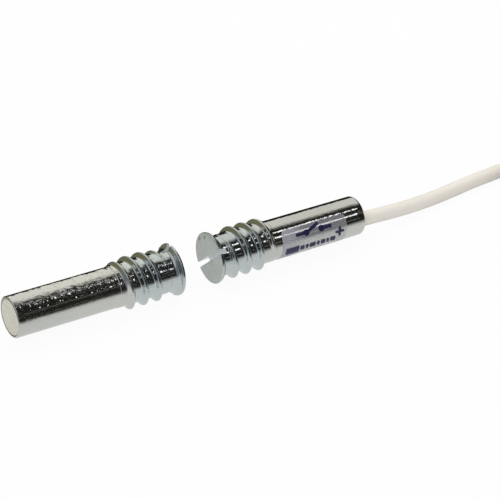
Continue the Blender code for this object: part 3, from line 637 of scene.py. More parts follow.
@dataclass
class Cable:
    """The contact's cable: a free stretch, a tied hank and a stripped far end.

    The hank is wound on a loop with two straight sides. Its outer column of turns rises, its
    inner one comes down again, and the rows change on the near straight side.
    """

    plan: Plan
    length: float = 2.0
    insertion: float = 4.4 * MM
    away: float = 6.35 * MM
    reach: float = 46.0 * MM
    end_lift: float = 0.15 * MM
    pitch: float = 3.05 * MM
    fold: float = 9.0 * MM
    lift: float = 0.9 * MM
    rows: int = 6
    tie_gap: float = 0.3 * MM
    bulge: float = 1.2 * MM
    tail: float = 24.0 * MM
    arc_steps: int = 14
    straight_steps: int = 12
    tail_steps: int = 10
    spacing: float = 1.4 * MM

    def __post_init__(self) -> None:
        """Work out the hank's place and straight length from the sizes above."""
        self.radius = self.plan.cable_radius
        self.rear = self.plan.contact_face + self.plan.unit_length
        self.exit_height = self.plan.axis_height - self.plan.cable_drop
        self.turns = 2 * self.rows
        outer = self.fold + self.pitch + self.radius
        self.hank_y = self.away - (outer - self.radius)
        meets = math.sqrt(outer**2 - (outer - 2 * self.radius) ** 2)
        self.hank_x = self.rear + self.reach + self.tie_gap + meets
        wound = self.length - (self.hank_x - self.rear) - self.tail
        mean = self.fold + self.pitch / 2
        self.straight = (wound / self.turns - 2 * math.pi * mean) / 2

    def free_route(self) -> list[Point]:
        """Route of the free stretch, the same points as in the part's source.

        Returns:
            Points from inside the resin to the hank.
        """
        fall = self.exit_height - self.radius
        points = [
            (-self.insertion, 0.0, 0.0),
            (0.0, 0.0, 0.0),
            (4.0 * MM, 0.05 * MM, 0.036),
            (9.5 * MM, 0.55 * MM, 0.273),
            (15.5 * MM, 1.75 * MM, 0.636),
            (21.5 * MM, 3.0 * MM, 0.9),
            (27.5 * MM, 4.15 * MM, 1.0),
            (34.5 * MM, 5.3 * MM, 1.0),
            (42.5 * MM, 6.2 * MM, 1.0),
            (self.reach, self.away, 1.0 - self.end_lift / fall),
        ]
        return [(self.rear + x, y, self.exit_height - fall * share) for x, y, share in points]

    def row_height(self, turn: int) -> float:
        """Height of one turn's centre line: rows go up in the outer column, down in the inner."""
        row = turn if turn < self.rows else self.turns - 1 - turn
        return self.lift + self.radius + self.pitch * row

    def turn_radius(self, turn: int) -> float:
        """Fold radius of one turn, larger in the outer column."""
        return self.fold + (self.pitch if turn < self.rows else 0.0)

    def turn_points(self, turn: int) -> list[Point]:
        """Points of one turn, from the far side's start round to the far side again.

        Args:
            turn: The turn's number, from 0 at the free stretch.

        Returns:
            Points in the hank's own frame.
        """
        last = turn == self.turns - 1
        after = turn if last else turn + 1
        radius, height = self.turn_radius(turn), self.row_height(turn)
        next_radius, next_height = self.turn_radius(after), self.row_height(after)
        changes_column = not last and next_radius != radius
        shares = [i / self.straight_steps for i in range(self.straight_steps)]
        points = [(self.straight * share, radius, height) for share in shares]
        fold = arc((self.straight, 0.0), radius, 90, -90, self.arc_steps)
        points += [(x, y, height) for x, y in fold[:-1]]
        for share in shares:
            step = 0.5 - 0.5 * math.cos(math.pi * share)
            rise = self.bulge * math.sin(math.pi * share) if changes_column else 0.0
            side = radius + (next_radius - radius) * step
            level = height + (next_height - height) * step + rise
            points.append((self.straight * (1 - share), -side, level))
        fold = arc((0.0, 0.0), next_radius, -90, -270, self.arc_steps)
        return points + [(x, y, next_height) for x, y in fold[:-1]]

    def tail_points(self) -> list[Point]:
        """The last of the cable: an S-curve to the loop's middle line, down to the surface."""
        points = []
        for i in range(self.tail_steps + 1):
            swing = 0.5 + 0.5 * math.cos(math.pi * i / self.tail_steps)
            x = self.tail * i / self.tail_steps
            points.append((x, self.fold * swing, self.radius + self.lift * swing))
        return points

    def in_hank(self, points: list[Point]) -> list[Point]:
        """Points of the hank's own frame at their place."""
        return [(self.hank_x + x, self.hank_y + y, z) for x, y, z in points]

    def smooth(self, route: list[Point], spacing: float) -> list[Vector]:
        """Lay a smooth curve through a route.

        Args:
            route: The points that the curve passes.
            spacing: About how far apart the curve's own points are.

        Returns:
            The curve's points.
        """
        points = [Vector(p) for p in route]
        ends = [2 * points[0] - points[1]] + points + [2 * points[-1] - points[-2]]
        smooth = []
        for before, a, b, after in zip(ends, ends[1:], ends[2:], ends[3:]):
            slope = b - before
            square = 2 * before - 5 * a + 4 * b - after
            cube = 3 * a - before - 3 * b + after
            steps = max(1, round((b - a).length / spacing))
            for t in (i / steps for i in range(steps)):
                smooth.append(0.5 * (2 * a + slope * t + square * t**2 + cube * t**3))
        return smooth + [points[-1]]

    def tube(self, name: str, points: list, radius: float, sides: int) -> Piece:
        """A round tube with closed ends along the points.

        Args:
            name: Name of the new curve object.
            points: Places along the tube's middle line.
            radius: The tube's radius.
            sides: Bevel resolution of its round section.

        Returns:
            The curve object.
        """
        curve = bpy.data.curves.new(name, "CURVE")
        curve.dimensions = "3D"
        curve.bevel_depth = radius
        curve.bevel_resolution = sides
        curve.use_fill_caps = True
        spline = curve.splines.new("POLY")
        spline.points.add(len(points) - 1)
        for point, place in zip(spline.points, points):
            point.co = (*place, 1.0)
        spline.use_smooth = True
        tube = bpy.data.objects.new(name, curve)
        bpy.context.collection.objects.link(tube)
        return tube

    def build(self) -> None:
        wound = [point for turn in range(self.turns) for point in self.turn_points(turn)]
        route = self.free_route() + self.in_hank(wound + self.tail_points())
        cable = self.tube("cable", self.smooth(route, self.spacing), self.radius, 6)
        cable.data.materials.append(Finishes.sheath.material())
        Bench.place_in_record(cable, "contact", "sheath", ["cable_run", "cable_hank", "cable_tail"])
        pieces = [HankTie(self, side).build() for side in Side]
        pieces += FarEnd(self).build()


@dataclass
class HankTie:
    """A nylon strap round one side of the hank, with its locking head on top."""

    cable: Cable
    side: Side
    thickness: float = 0.6 * MM
    width: float = 2.6 * MM
    corner: float = 0.8 * MM
    edge: float = 0.08 * MM
    head: Point = (4.0 * MM, 3.6 * MM, 2.8 * MM)
    head_edge: float = 0.4 * MM
    head_sink: float = 0.2 * MM
    slot_side: float = 0.3 * MM
    slot_height: float = 0.9 * MM
    slot_level: float = 0.62
    crossover: float = 1.3 * MM

    def __post_init__(self) -> None:
        """Work out where this side's turns run, and how high the strap goes."""
        cable = self.cable
        inner = cable.fold - cable.radius
        outer = cable.fold + cable.pitch + cable.radius
        self.middle = (outer + inner) / 2 * self.side.value
        self.half = (outer - inner) / 2 + cable.tie_gap
        turns = (cable.rows - 1) * cable.pitch + 2 * cable.radius + self.crossover
        self.top = cable.lift + turns + cable.tie_gap + self.thickness

    def strap_outline(self, grow: float) -> list[Pair]:
        """Rounded rectangle round the turns of one side, in Y and Z."""
        low = self.thickness + self.corner
        high = self.top - self.thickness - self.corner
        points = []
        for across, z, start in ((1, high, 0), (-1, high, 90), (-1, low, 180), (1, low, 270)):
            centre = (self.middle + across * (self.half - self.corner), z)
            points += arc(centre, self.corner + grow, start, start + 90, 6)
        return points

    def strap(self) -> Piece:
        """Draw the closed strap as a flat ring and give it its width.

        Returns:
            The strap's object.
        """
        mesh = bpy.data.meshes.new("hank_strap")
        work = bmesh.new()
        outer, inner = (
            [work.verts.new((-self.width / 2, y, z)) for y, z in self.strap_outline(grow)]
            for grow in (self.thickness, 0.0)
        )
        for i in range(len(outer)):
            j = (i + 1) % len(outer)
            work.faces.new((outer[i], outer[j], inner[j], inner[i]))
        work.to_mesh(mesh)
        work.free()
        strap = bpy.data.objects.new("hank_strap", mesh)
        bpy.context.collection.objects.link(strap)
        with Bench.editing(strap):
            across = {"value": (self.width, 0.0, 0.0)}
            bpy.ops.mesh.extrude_region_move(TRANSFORM_OT_translate=across)
            Bench.face_out()
        Bench.apply(strap, "BEVEL", width=self.edge, segments=2, limit_method="ANGLE")
        return strap

    def locking_head(self) -> Piece:
        """The box that the strap's end passes through, with its slot.

        Returns:
            The head's object.
        """
        _, width, height = self.head
        base = self.top - self.head_sink
        head = Bench.block(self.head, (0.0, self.middle, base + height / 2))
        with Bench.editing(head):
            bpy.ops.mesh.bevel(offset=self.head_edge, segments=3, affect="EDGES")
        slot_size = (self.width + self.slot_side, 2 * width, self.slot_height)
        slot_place = (0.0, self.middle, base + height * self.slot_level)
        Bench.cut(head, Bench.block(slot_size, slot_place))
        return head

    def build(self) -> Piece:
        """Model the tie at the middle of its side and return it."""
        node = "hank_tie_" + self.side.name.lower()
        tie = Bench.join([self.strap(), self.locking_head()], node + "_nylon")
        middle = self.cable.hank_x + self.cable.straight / 2
        place = Matrix.Translation((middle, self.cable.hank_y, 0.0))
        Bench.finish(tie, place, 32.0, Finishes.nylon)
        Bench.place_in_record(tie, "contact", "tie", [node])
        return tie


@dataclass
class FarEnd:
    """The stripped far end: four conductors that fan out on the surface, with bare tips."""

    cable: Cable
    wire_radius: float = 0.5 * MM
    spread: float = 0.55 * MM
    wire_length: float = 20.0 * MM
    wire_spacing: float = 0.8 * MM
    fan_lower: float = 0.68 * MM
    fan_upper: float = 2.1 * MM
    gap: float = 0.1 * MM
    tip_length: float = 6.0 * MM
    tip_radius: float = 0.25 * MM
    tip_steps: int = 28
    strands: int = 7
    twists: float = 1.6

    def conductor(self, pigment: Pigment, side: int, level: int, fan: float) -> Piece:
        """One insulated conductor from its place in the sheath down to the surface.

        Args:
            pigment: The conductor's colour.
            side: -1 or 1, across its place in the sheath.
            level: -1 or 1, for the lower or upper conductors in the sheath.
            fan: How far aside it ends.

        Returns:
            The conductor's object.
        """
        cable, tail = self.cable, self.cable.tail
        aside, above = side * self.spread, level * self.spread
        start = tail + self.gap
        route = [
            (start, aside, cable.radius + above),
            (start + 0.15 * self.wire_length, (2 * aside + fan) / 3, cable.radius + 0.8 * above),
            (start + 0.45 * self.wire_length, 0.95 * fan, self.wire_radius + self.gap / 2),
            (tail + self.wire_length, fan, self.wire_radius),
        ]
        node = "tail_" + pigment.value
        curve = cable.smooth(cable.in_hank(route), self.wire_spacing)
        wire = cable.tube(node + "_core", curve, self.wire_radius, 4)
        wire.data.materials.append(Finishes.cores[pigment].material())
        Bench.place_in_record(wire, "contact", pigment.value + "_core", [node])
        return wire

    def tip(self, pigment: Pigment, fan: float) -> Piece:
        """The bare end of one conductor: fine strands twisted round each other.

        Args:
            pigment: The conductor's colour.
            fan: How far aside it lies.

        Returns:
            The tip's object.
        """
        cable = self.cable
        start = cable.hank_x + cable.tail + self.wire_length + self.gap
        thin = self.tip_radius / 3
        strands = []
        for strand in range(self.strands):
            ring = 0.0 if strand == 0 else 2 * thin
            points = []
            for share in (i / self.tip_steps for i in range(self.tip_steps + 1)):
                angle = 2 * math.pi * (strand / (self.strands - 1) + self.twists * share)
                y = cable.hank_y + fan + ring * math.cos(angle)
                z = self.wire_radius + ring * math.sin(angle)
                points.append((start + self.tip_length * share, y, z))
            strands.append(cable.tube("strand", points, thin, 2))
        for strand in strands:
            Bench.take(strand)
            bpy.ops.object.convert(target="MESH")
        node = "tip_" + pigment.value
        tip = Bench.join(strands, node + "_strands")
        Bench.finish(tip, Matrix(), 60.0, Finishes.strand)
        Bench.place_in_record(tip, "contact", "copper", [node])
        return tip

    def build(self) -> list[Piece]:
        """Make all conductors and tips, and return them as the cable's own pieces."""
        layout = {
            Pigment.WHITE: (-1, -1),
            Pigment.BROWN: (-1, 1),
            Pigment.GREEN: (1, -1),
            Pigment.YELLOW: (1, 1),
        }
        pieces = []
        for pigment, (side, level) in layout.items():
            fan = side * (self.fan_upper if level > 0 else self.fan_lower)
            pieces += [self.conductor(pigment, side, level, fan), self.tip(pigment, fan)]
        return pieces


@dataclass
class Shell:
    """One cast shell: slotted flange, neck, rounded thread and plain body, open at the rear."""

    name: str
    node: str
    body: str
    place: Matrix
    slot_angle: float
    bore_radius: float
    edge_round: float
    plating: ZincFinish
    length: float
    body_radius: float
    marks: tuple[Pair, ...] = ()
    mark_size: Point = (0.5 * MM, 0.2 * MM, 0.8 * MM)
    flange_radius: float = 5.15 * MM
    flange_rim: float = 0.62 * MM
    flange_edge: float = 0.10 * MM
    flange_back: float = 0.42 * MM
    flange_fillet: float = 1.0 * MM
    face_rings: Pair = (0.35, 0.7)
    neck_radius: float = 4.0 * MM
    core_radius: float = 4.1 * MM
    core_start: float = 2.45 * MM
    core_end: float = 13.2 * MM
    core_step: float = 0.12 * MM
    bore_start: float = 3.6 * MM
    bore_edge: float = 0.05 * MM
    slot_width: float = 1.05 * MM
    slot_depth: float = 2.0 * MM
    slot_edge: float = 0.05 * MM
    weld: float = 0.012 * MM
    thread_start: float = 2.93 * MM
    thread_pitch: float = 2.92 * MM
    thread_turns: float = 3.32
    crest_radius: float = 5.0 * MM
    crest_round: float = 0.33 * MM
    root_fillet: float = 0.45 * MM
    flank_slope: float = math.radians(60)
    thread_end_width: float = 0.8 * MM
    thread_end_sink: float = 0.1 * MM
    thread_fade: float = 0.38
    thread_from_slot: float = math.radians(-34)
    root_blend: float = 0.05 * MM
    root_dip: float = 0.018 * MM
    segments: int = 192
    thread_step: float = 0.045 * MM
    plain_step: float = 1.2 * MM
    bore_step: float = 6.0 * MM
    tolerance: float = 0.001 * MM

    def __post_init__(self) -> None:
        """Work out the full ridge's section from its slope and its two rounds."""
        slope, rounds = self.flank_slope, self.crest_round + self.root_fillet
        self.full = self.crest_radius - self.core_radius
        self.drop = 1 - math.cos(slope)
        self.crest_end = self.crest_round * math.sin(slope)
        self.fillet_start = self.crest_end + (self.full - rounds * self.drop) / math.tan(slope)
        self.foot = self.fillet_start + self.root_fillet * math.sin(slope)

    def outline(self) -> list[Pair]:
        """The turned outline from the middle of the face round to the bore's end.

        Returns:
            (x, radius) points, with x measured from the flange face.
        """
        edge, back, bore = self.flange_edge, self.flange_back, self.bore_radius
        reach, fillet = self.flange_radius - edge, self.flange_fillet
        points = [(0.0, 0.0)] + [(0.0, reach * share) for share in self.face_rings]
        points += arc((edge, reach), edge, 180, 90, 3)
        points += arc((self.flange_rim - back, self.flange_radius - back), back, 90, 10, 7)
        points += arc((self.flange_rim + fillet, self.neck_radius + fillet), fillet, 180, 270, 14)
        first = self.core_start - self.core_step
        points += [(x, self.neck_radius) for x in evenly(points[-1][0], first, self.thread_step)]
        body_start = self.core_end + self.core_step
        points += [(x, self.core_at(x)) for x in evenly(first, body_start, self.thread_step)]
        body_end = self.length - self.edge_round
        points.append((body_start, self.body_radius))
        points += [(x, self.body_radius) for x in evenly(body_start, body_end, self.plain_step)]
        points += arc((body_end, self.body_radius - self.edge_round), self.edge_round, 90, 0, 8)
        points += [(self.length, bore + self.bore_edge), (self.length - self.bore_edge, bore)]
        points += [(x, bore) for x in evenly(self.length, self.bore_start, self.bore_step)]
        return points + [(self.bore_start, bore), (self.bore_start, 0.0)]

    def core_at(self, x: float) -> float:
        """Radius of the core under the thread, with a soft step up from the neck."""
        rise = min(1.0, max(0.0, (x - self.core_start) / self.core_step))
        fall = min(1.0, max(0.0, (self.core_end + self.core_step - x) / self.core_step))
        return self.neck_radius + (self.core_radius - self.neck_radius) * min(rise, fall)

    def ridge_height(self, aside: float) -> float:
        """Height of the full ridge over the core.

        Args:
            aside: Distance from the middle of the crest, along the axis.

        Returns:
            The height there: round crest, straight flank, hollow fillet, or 0 beyond the foot.
        """
        if aside < self.crest_end:
            return self.full - self.crest_round + math.sqrt(self.crest_round**2 - aside**2)
        if aside < self.fillet_start:
            down = (aside - self.crest_end) * math.tan(self.flank_slope)
            return self.full - self.crest_round * self.drop - down
        if aside < self.foot:
            return self.root_fillet - math.sqrt(self.root_fillet**2 - (self.foot - aside) ** 2)
        return 0.0

    def turn_at(self, angle: float) -> float:
        """Share of the first turn at which the thread passes an angle about the axis."""
        return ((angle - self.slot_angle - self.thread_from_slot) / (2 * math.pi)) % 1.0

    def fade_at(self, turn: float) -> float:
        """How full the ridge is at one turn: 0 at its two ends, 1 in between."""
        from_end = min(turn, self.thread_turns - turn) / self.thread_fade
        return math.sin(math.pi / 2 * min(1.0, max(0.0, from_end)))

    def dip_at(self, x: float, angle: float) -> float:
        """Depth of the slightly hollow root between two full ridges.

        Args:
            x: Distance behind the flange face.
            angle: Angle about the axis, from +Y towards +Z.

        Returns:
            The depth there, 0 outside the roots.
        """
        turn = self.turn_at(angle)
        behind = (x - self.thread_start) / self.thread_pitch - turn
        before, after = turn + math.floor(behind), turn + math.floor(behind) + 1
        if behind < 0 or after > self.thread_turns:
            return 0.0
        share = behind % 1.0
        aside = min(share, 1 - share) * self.thread_pitch
        if aside < self.foot:
            return 0.0
        middle = self.thread_pitch / 2
        hollow = 1 - ((middle - aside) / (middle - self.foot)) ** 2
        return self.root_dip * hollow * min(self.fade_at(before), self.fade_at(after))

    def ridge_at(self, x: float, angle: float) -> float:
        """Radius of the thread's rounded ridge at one place.

        Args:
            x: Distance behind the flange face.
            angle: Angle about the axis, from +Y towards +Z.

        Returns:
            The ridge's radius there, or 0 where there is none.
        """
        turn = self.turn_at(angle)
        end_share = self.thread_end_width / (2 * self.foot)
        highest = 0.0
        while turn <= self.thread_turns:
            aside = abs(x - self.thread_start - self.thread_pitch * turn)
            fade = self.fade_at(turn)
            height = self.ridge_height(aside / (end_share + (1 - end_share) * fade))
            if height > 0:
                sunk = self.core_radius - self.thread_end_sink * (1 - fade)
                highest = max(highest, sunk + height * fade)
            turn += 1.0
        return highest

    def raise_thread(self, shell: Piece) -> None:
        """Lift the outer skin to the helical ridge, with a small fillet at its root."""
        lowest = self.neck_radius - 20 * self.tolerance
        limit = self.core_end + 2 * self.core_step
        for vertex in shell.data.vertices:
            x, y, z = vertex.co
            radius = math.hypot(y, z)
            if not (self.flange_rim < x < limit and radius > lowest):
                continue
            angle = math.atan2(z, y)
            ridge = self.ridge_at(x, angle)
            radius -= self.dip_at(x, angle)
            apart = max(self.root_blend - abs(radius - ridge), 0.0) / self.root_blend
            raised = max(radius, ridge) + apart**2 * self.root_blend / 4
            vertex.co = (x, raised * math.cos(angle), raised * math.sin(angle))
        shell.data.update()

    def cut_slot(self, shell: Piece) -> None:
        """Cut the screwdriver slot across the flange and break its mouth's edges."""
        cutter = Bench.block((2 * self.slot_depth, 4 * self.flange_radius, self.slot_width))
        cutter.rotation_euler = (self.slot_angle, 0.0, 0.0)
        bpy.ops.object.transform_apply(location=True, rotation=True, scale=True)
        Bench.cut(shell, cutter)
        across = Vector((0.0, -math.sin(self.slot_angle), math.cos(self.slot_angle)))
        near = 2 * self.tolerance
        with Bench.editing(shell):
            bpy.ops.mesh.remove_doubles(threshold=self.weld)
            bpy.ops.mesh.select_mode(type="EDGE")
            bpy.ops.mesh.select_all(action="DESELECT")
            work = bmesh.from_edit_mesh(shell.data)
            for edge in work.edges:
                ends = [v.co for v in edge.verts]
                on_face = all(abs(end.x) < self.tolerance for end in ends)
                walls = [abs(end.dot(across)) - self.slot_width / 2 for end in ends]
                edge.select_set(on_face and all(abs(wall) < near for wall in walls))
            bmesh.update_edit_mesh(shell.data)
            bpy.ops.mesh.bevel(
                offset=self.slot_edge, segments=2, affect="EDGES", clamp_overlap=True
            )

    def paint(self, shell: Piece) -> None:
        """Give the flat front face the dull finish and the rest the bright one."""
        shell.data.materials.append(self.plating.material())
        shell.data.materials.append(Finishes.cast_face.material())
        for face in shell.data.polygons:
            radius = math.hypot(face.center.y, face.center.z)
            in_front = face.center.x < self.tolerance and radius < self.flange_radius
            face.material_index = 1 if in_front else 0

    def build(self) -> None:
        """Model the shell at its unit's place, with any ejector marks in its flat face."""
        shell = Bench.lathe(self.name, self.outline(), self.segments)
        self.raise_thread(shell)
        self.cut_slot(shell)
        for y, z in self.marks:
            Bench.cut(shell, Bench.block(self.mark_size, (0.0, y, z)))
        self.paint(shell)
        Bench.finish(shell, self.place, 38.0)
        Bench.place_in_record(shell, self.body, "zinc", [self.node])


@dataclass
class Label:
    """The clear film on the contact's body, and the plain print under its gloss."""

    plan: Plan
    start: float = 14.5 * MM
    end: float = 29.6 * MM
    first_angle: float = math.radians(131)
    span: float = math.radians(150)
    film_gap: float = 0.03 * MM
    thickness: float = 0.08 * MM
    corner: float = 1.2 * MM
    ink: float = 0.02 * MM
    line: float = 0.62 * MM
    dot_radius: float = 0.64 * MM
    symbol_angle: float = 156.0
    plus_size: Pair = (2.0 * MM, 0.46 * MM)
    plus_angle: float = 181.0
    row_start: float = 15.3 * MM
    row_gap: float = 0.42
    row_angle: float = 200.0
    row: tuple[Pair, ...] = (
        (3.0, 1.6), (0.9, 1.0), (0.5, 1.0), (1.3, 1.0), (0.5, 1.0), (0.9, 1.0), (0.5, 1.0),
        (1.1, 1.0),
    )
    columns: int = 60
    rows: int = 40

    def wrap(self, flat: Piece, radius: float) -> None:
        """Bend a flat mesh, drawn in X and arc length, round the body."""
        for vertex in flat.data.vertices:
            x, along, _ = vertex.co
            angle = along / self.plan.body_radius
            vertex.co = (x, radius * math.cos(angle), radius * math.sin(angle))
        flat.data.update()

    def film(self) -> Piece:
        """Model the film: a flat sheet with rounded corners, bent and given its wall.

        Returns:
            The film's object.
        """
        Bench.clear_selection()
        bpy.ops.mesh.primitive_grid_add(
            x_subdivisions=self.columns, y_subdivisions=self.rows, size=2.0
        )
        film = bpy.context.object
        film.name = "printed_film"
        body_radius = self.plan.body_radius
        arc_start, arc_length = self.first_angle * body_radius, self.span * body_radius
        for vertex in film.data.vertices:
            across, share = (vertex.co.x + 1) / 2, (vertex.co.y + 1) / 2
            from_edge = min(share, 1 - share) * arc_length
            missing = max(0.0, 1.0 - from_edge / self.corner)
            pull = self.corner * (1 - math.sqrt(max(0.0, 1 - missing**2)))
            x = self.start + pull + (self.end - self.start - 2 * pull) * across
            vertex.co = (x, arc_start + arc_length * share, 0.0)
        self.wrap(film, body_radius + self.film_gap + self.thickness / 2)
        Bench.apply(film, "SOLIDIFY", thickness=self.thickness, offset=0.0)
        return film

    def put(self, x: float, degrees: float, shape: Matrix) -> Piece:
        """Lay the mark just added at x and an angle about the axis, still flat."""
        mark = bpy.context.object
        along = math.radians(degrees) * self.plan.body_radius
        mark.data.transform(Matrix.Translation((x, along, 0.0)) @ shape)
        return mark

    def bar(self, x: float, degrees: float, size: Pair, slant: float = 0.0) -> Piece:
        """A flat bar of ink.

        Args:
            x: Middle of the bar, behind the flange face.
            degrees: Its angle about the axis.
            size: Length along the body and width round it.
            slant: How far it is turned, in degrees.

        Returns:
            The bar, still flat.
        """
        Bench.clear_selection()
        bpy.ops.mesh.primitive_grid_add(x_subdivisions=6, y_subdivisions=4, size=1.0)
        turned = Matrix.Rotation(math.radians(slant), 4, "Z")
        return self.put(x, degrees, turned @ Matrix.Diagonal((*size, 1.0, 1.0)))

    def dot(self, x: float) -> Piece:
        """A round dot of ink on the symbol's line, still flat."""
        Bench.clear_selection()
        bpy.ops.mesh.primitive_circle_add(vertices=24, radius=self.dot_radius, fill_type="TRIFAN")
        return self.put(x, self.symbol_angle, Matrix())

    def print_marks(self) -> Piece:
        """A plain switch symbol over a row of bars, in the place and colour of the print.

        Returns:
            The ink's object.
        """
        angle, lead = self.symbol_angle, (2.2 * MM, self.line)
        marks = [
            self.bar(18.75 * MM, angle, lead),
            self.dot(20.1 * MM),
            self.bar(21.6 * MM, 147.5, (3.3 * MM, self.line), -21),
            self.dot(23.6 * MM),
            self.bar(24.9 * MM, angle, lead),
            self.bar(27.9 * MM, self.plus_angle, self.plus_size),
            self.bar(27.9 * MM, self.plus_angle, self.plus_size[::-1]),
        ]
        x = self.row_start
        for width, height in self.row:
            size = (width * MM, height * MM)
            marks.append(self.bar(x + width * MM / 2, self.row_angle, size))
            x += (width + self.row_gap) * MM
        ink = Bench.join(marks, "film_print")
        self.wrap(ink, self.plan.body_radius + self.film_gap + self.thickness + self.ink)
        Bench.apply(ink, "SOLIDIFY", thickness=self.ink, offset=-1.0)
        return ink

    def build(self) -> None:
        """Make the film and its print at the contact's place."""
        for piece, finish, nodes in (
            (self.film(), Finishes.film, ["label_film"]),
            (self.print_marks(), Finishes.print_ink, []),
        ):
            with Bench.editing(piece):
                Bench.face_out()
            Bench.finish(piece, self.plan.contact(), 40.0, finish)
            Bench.place_in_record(piece, "contact", "film", nodes)


@dataclass
class Plugs:
    """The resin that closes the two shells at the rear."""

    plan: Plan
    potting_length: float = 5.4 * MM
    magnet_plug_length: float = 5.55 * MM
    fit_gap: float = 0.1 * MM
    collar: float = 0.4 * MM
    dish: float = 0.12 * MM
    edge: float = 0.16 * MM
    segments: int = 72

    def potting(self) -> None:
        """Rings that widen from the cable to the bore, with a collar that climbs the cable."""
        plan, collar, dish = self.plan, self.collar, self.dish
        way = plan.cable_radius + self.fit_gap / 2
        wall = plan.contact_bore - self.fit_gap
        start, rear = plan.unit_length - self.potting_length, plan.unit_length
        stations = [
            (0.0, start), (0.0, rear + collar * 0.9), (0.03, rear + collar),
            (0.07, rear + collar * 0.8), (0.14, rear + collar * 0.42),
            (0.24, rear + collar * 0.12), (0.4, rear - dish * 0.8), (0.6, rear - dish),
            (0.85, rear - dish * 0.7), (0.96, rear - dish * 0.2), (1.0, rear - dish * 0.1),
            (1.0, start),
        ]
        Bench.clear_selection()
        bpy.ops.mesh.primitive_circle_add(vertices=self.segments, radius=1.0)
        plug = bpy.context.object
        plug.name = "potting_resin"
        with Bench.editing(plug, "EDGE"):
            for _ in stations[1:]:
                bpy.ops.mesh.extrude_region_move()
        for index, vertex in enumerate(plug.data.vertices):
            share, x = stations[index // self.segments]
            radius = way + (wall - way) * share
            centre = -plan.cable_drop * (1 - share)
            vertex.co = (x, radius * vertex.co.x, centre + radius * vertex.co.y)
        with Bench.editing(plug, "EDGE"):
            bpy.ops.mesh.select_all(action="DESELECT")
            work = bmesh.from_edit_mesh(plug.data)
            for edge in work.edges:
                edge.select_set(edge.is_boundary)
            bmesh.update_edit_mesh(plug.data)
            bpy.ops.mesh.bridge_edge_loops()
            Bench.face_out()
        Bench.finish(plug, plan.contact(), 40.0, Finishes.resin)
        Bench.place_in_record(plug, "contact", "resin", ["potting_plug"])

    def magnet_plug(self) -> None:
        """The cream disc behind the magnet, a little dished, with a rounded edge."""
        plan, edge = self.plan, self.edge
        wall = plan.magnet_bore - self.fit_gap
        start, rear = plan.unit_length - self.magnet_plug_length, plan.unit_length
        outline = [(start, 0.0), (start, wall), (rear - edge, wall)]
        outline += arc((rear - edge, wall - edge), edge, 75, 0, 4)
        outline += [(rear - self.dish * share, wall * (1 - share)) for share in (0.2, 0.5, 0.8)]
        outline += [(rear - self.dish, 0.0)]
        plug = Bench.lathe("magnet_resin", outline, self.segments)
        Bench.finish(plug, plan.magnet(), 40.0, Finishes.plug)
        Bench.place_in_record(plug, "magnet", "plug", ["magnet_plug"])

    def build(self) -> None:
        """Make both plugs."""
        self.potting()
        self.magnet_plug()


class InnerPieces:
    """Finishes of the sealed pieces, whose shapes are the frame's own."""

    looks = {
        "reed_glass": Finishes.reed_glass,
        "reed_sleeve": Finishes.sleeve,
        "reed_blade_front": Finishes.reed_metal,
        "reed_blade_rear": Finishes.reed_metal,
        "solder_front": Finishes.solder,
        "solder_rear": Finishes.solder,
        "loop_splice": Finishes.solder,
        "bar_magnet": Finishes.cast_magnet,
        **{"wire_" + pigment.value: core for pigment, core in Finishes.cores.items()},
    }

    def build(self) -> None:
        """Put each finish into its node's first material slot."""
        for node, finish in self.looks.items():
            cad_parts[node].material_slots[0].material = finish.material()
            log.info("%s: %s", node, finish.name)


@dataclass(frozen=True)
class Panel:
    """A light or dark patch of the room: degrees about the X axis, and a range along X."""

    low: float
    high: float
    left: float
    right: float
    soft_low: float
    soft_high: float
    tone: Colour
    soft_side: float = 0.06

    def share(self, kit: Shader, about: Socket, x: Socket) -> Socket:
        """How much of a direction of the room this patch covers."""
        low, high = math.radians(self.low), math.radians(self.high)
        return kit.product(
            kit.product(
                kit.fade(about, math.radians(self.low - self.soft_low), low),
                kit.fade(about, math.radians(self.high + self.soft_high), high),
            ),
            kit.product(
                kit.fade(x, self.left - self.soft_side, self.left),
                kit.fade(x, self.right + self.soft_side, self.right),
            ),
        )


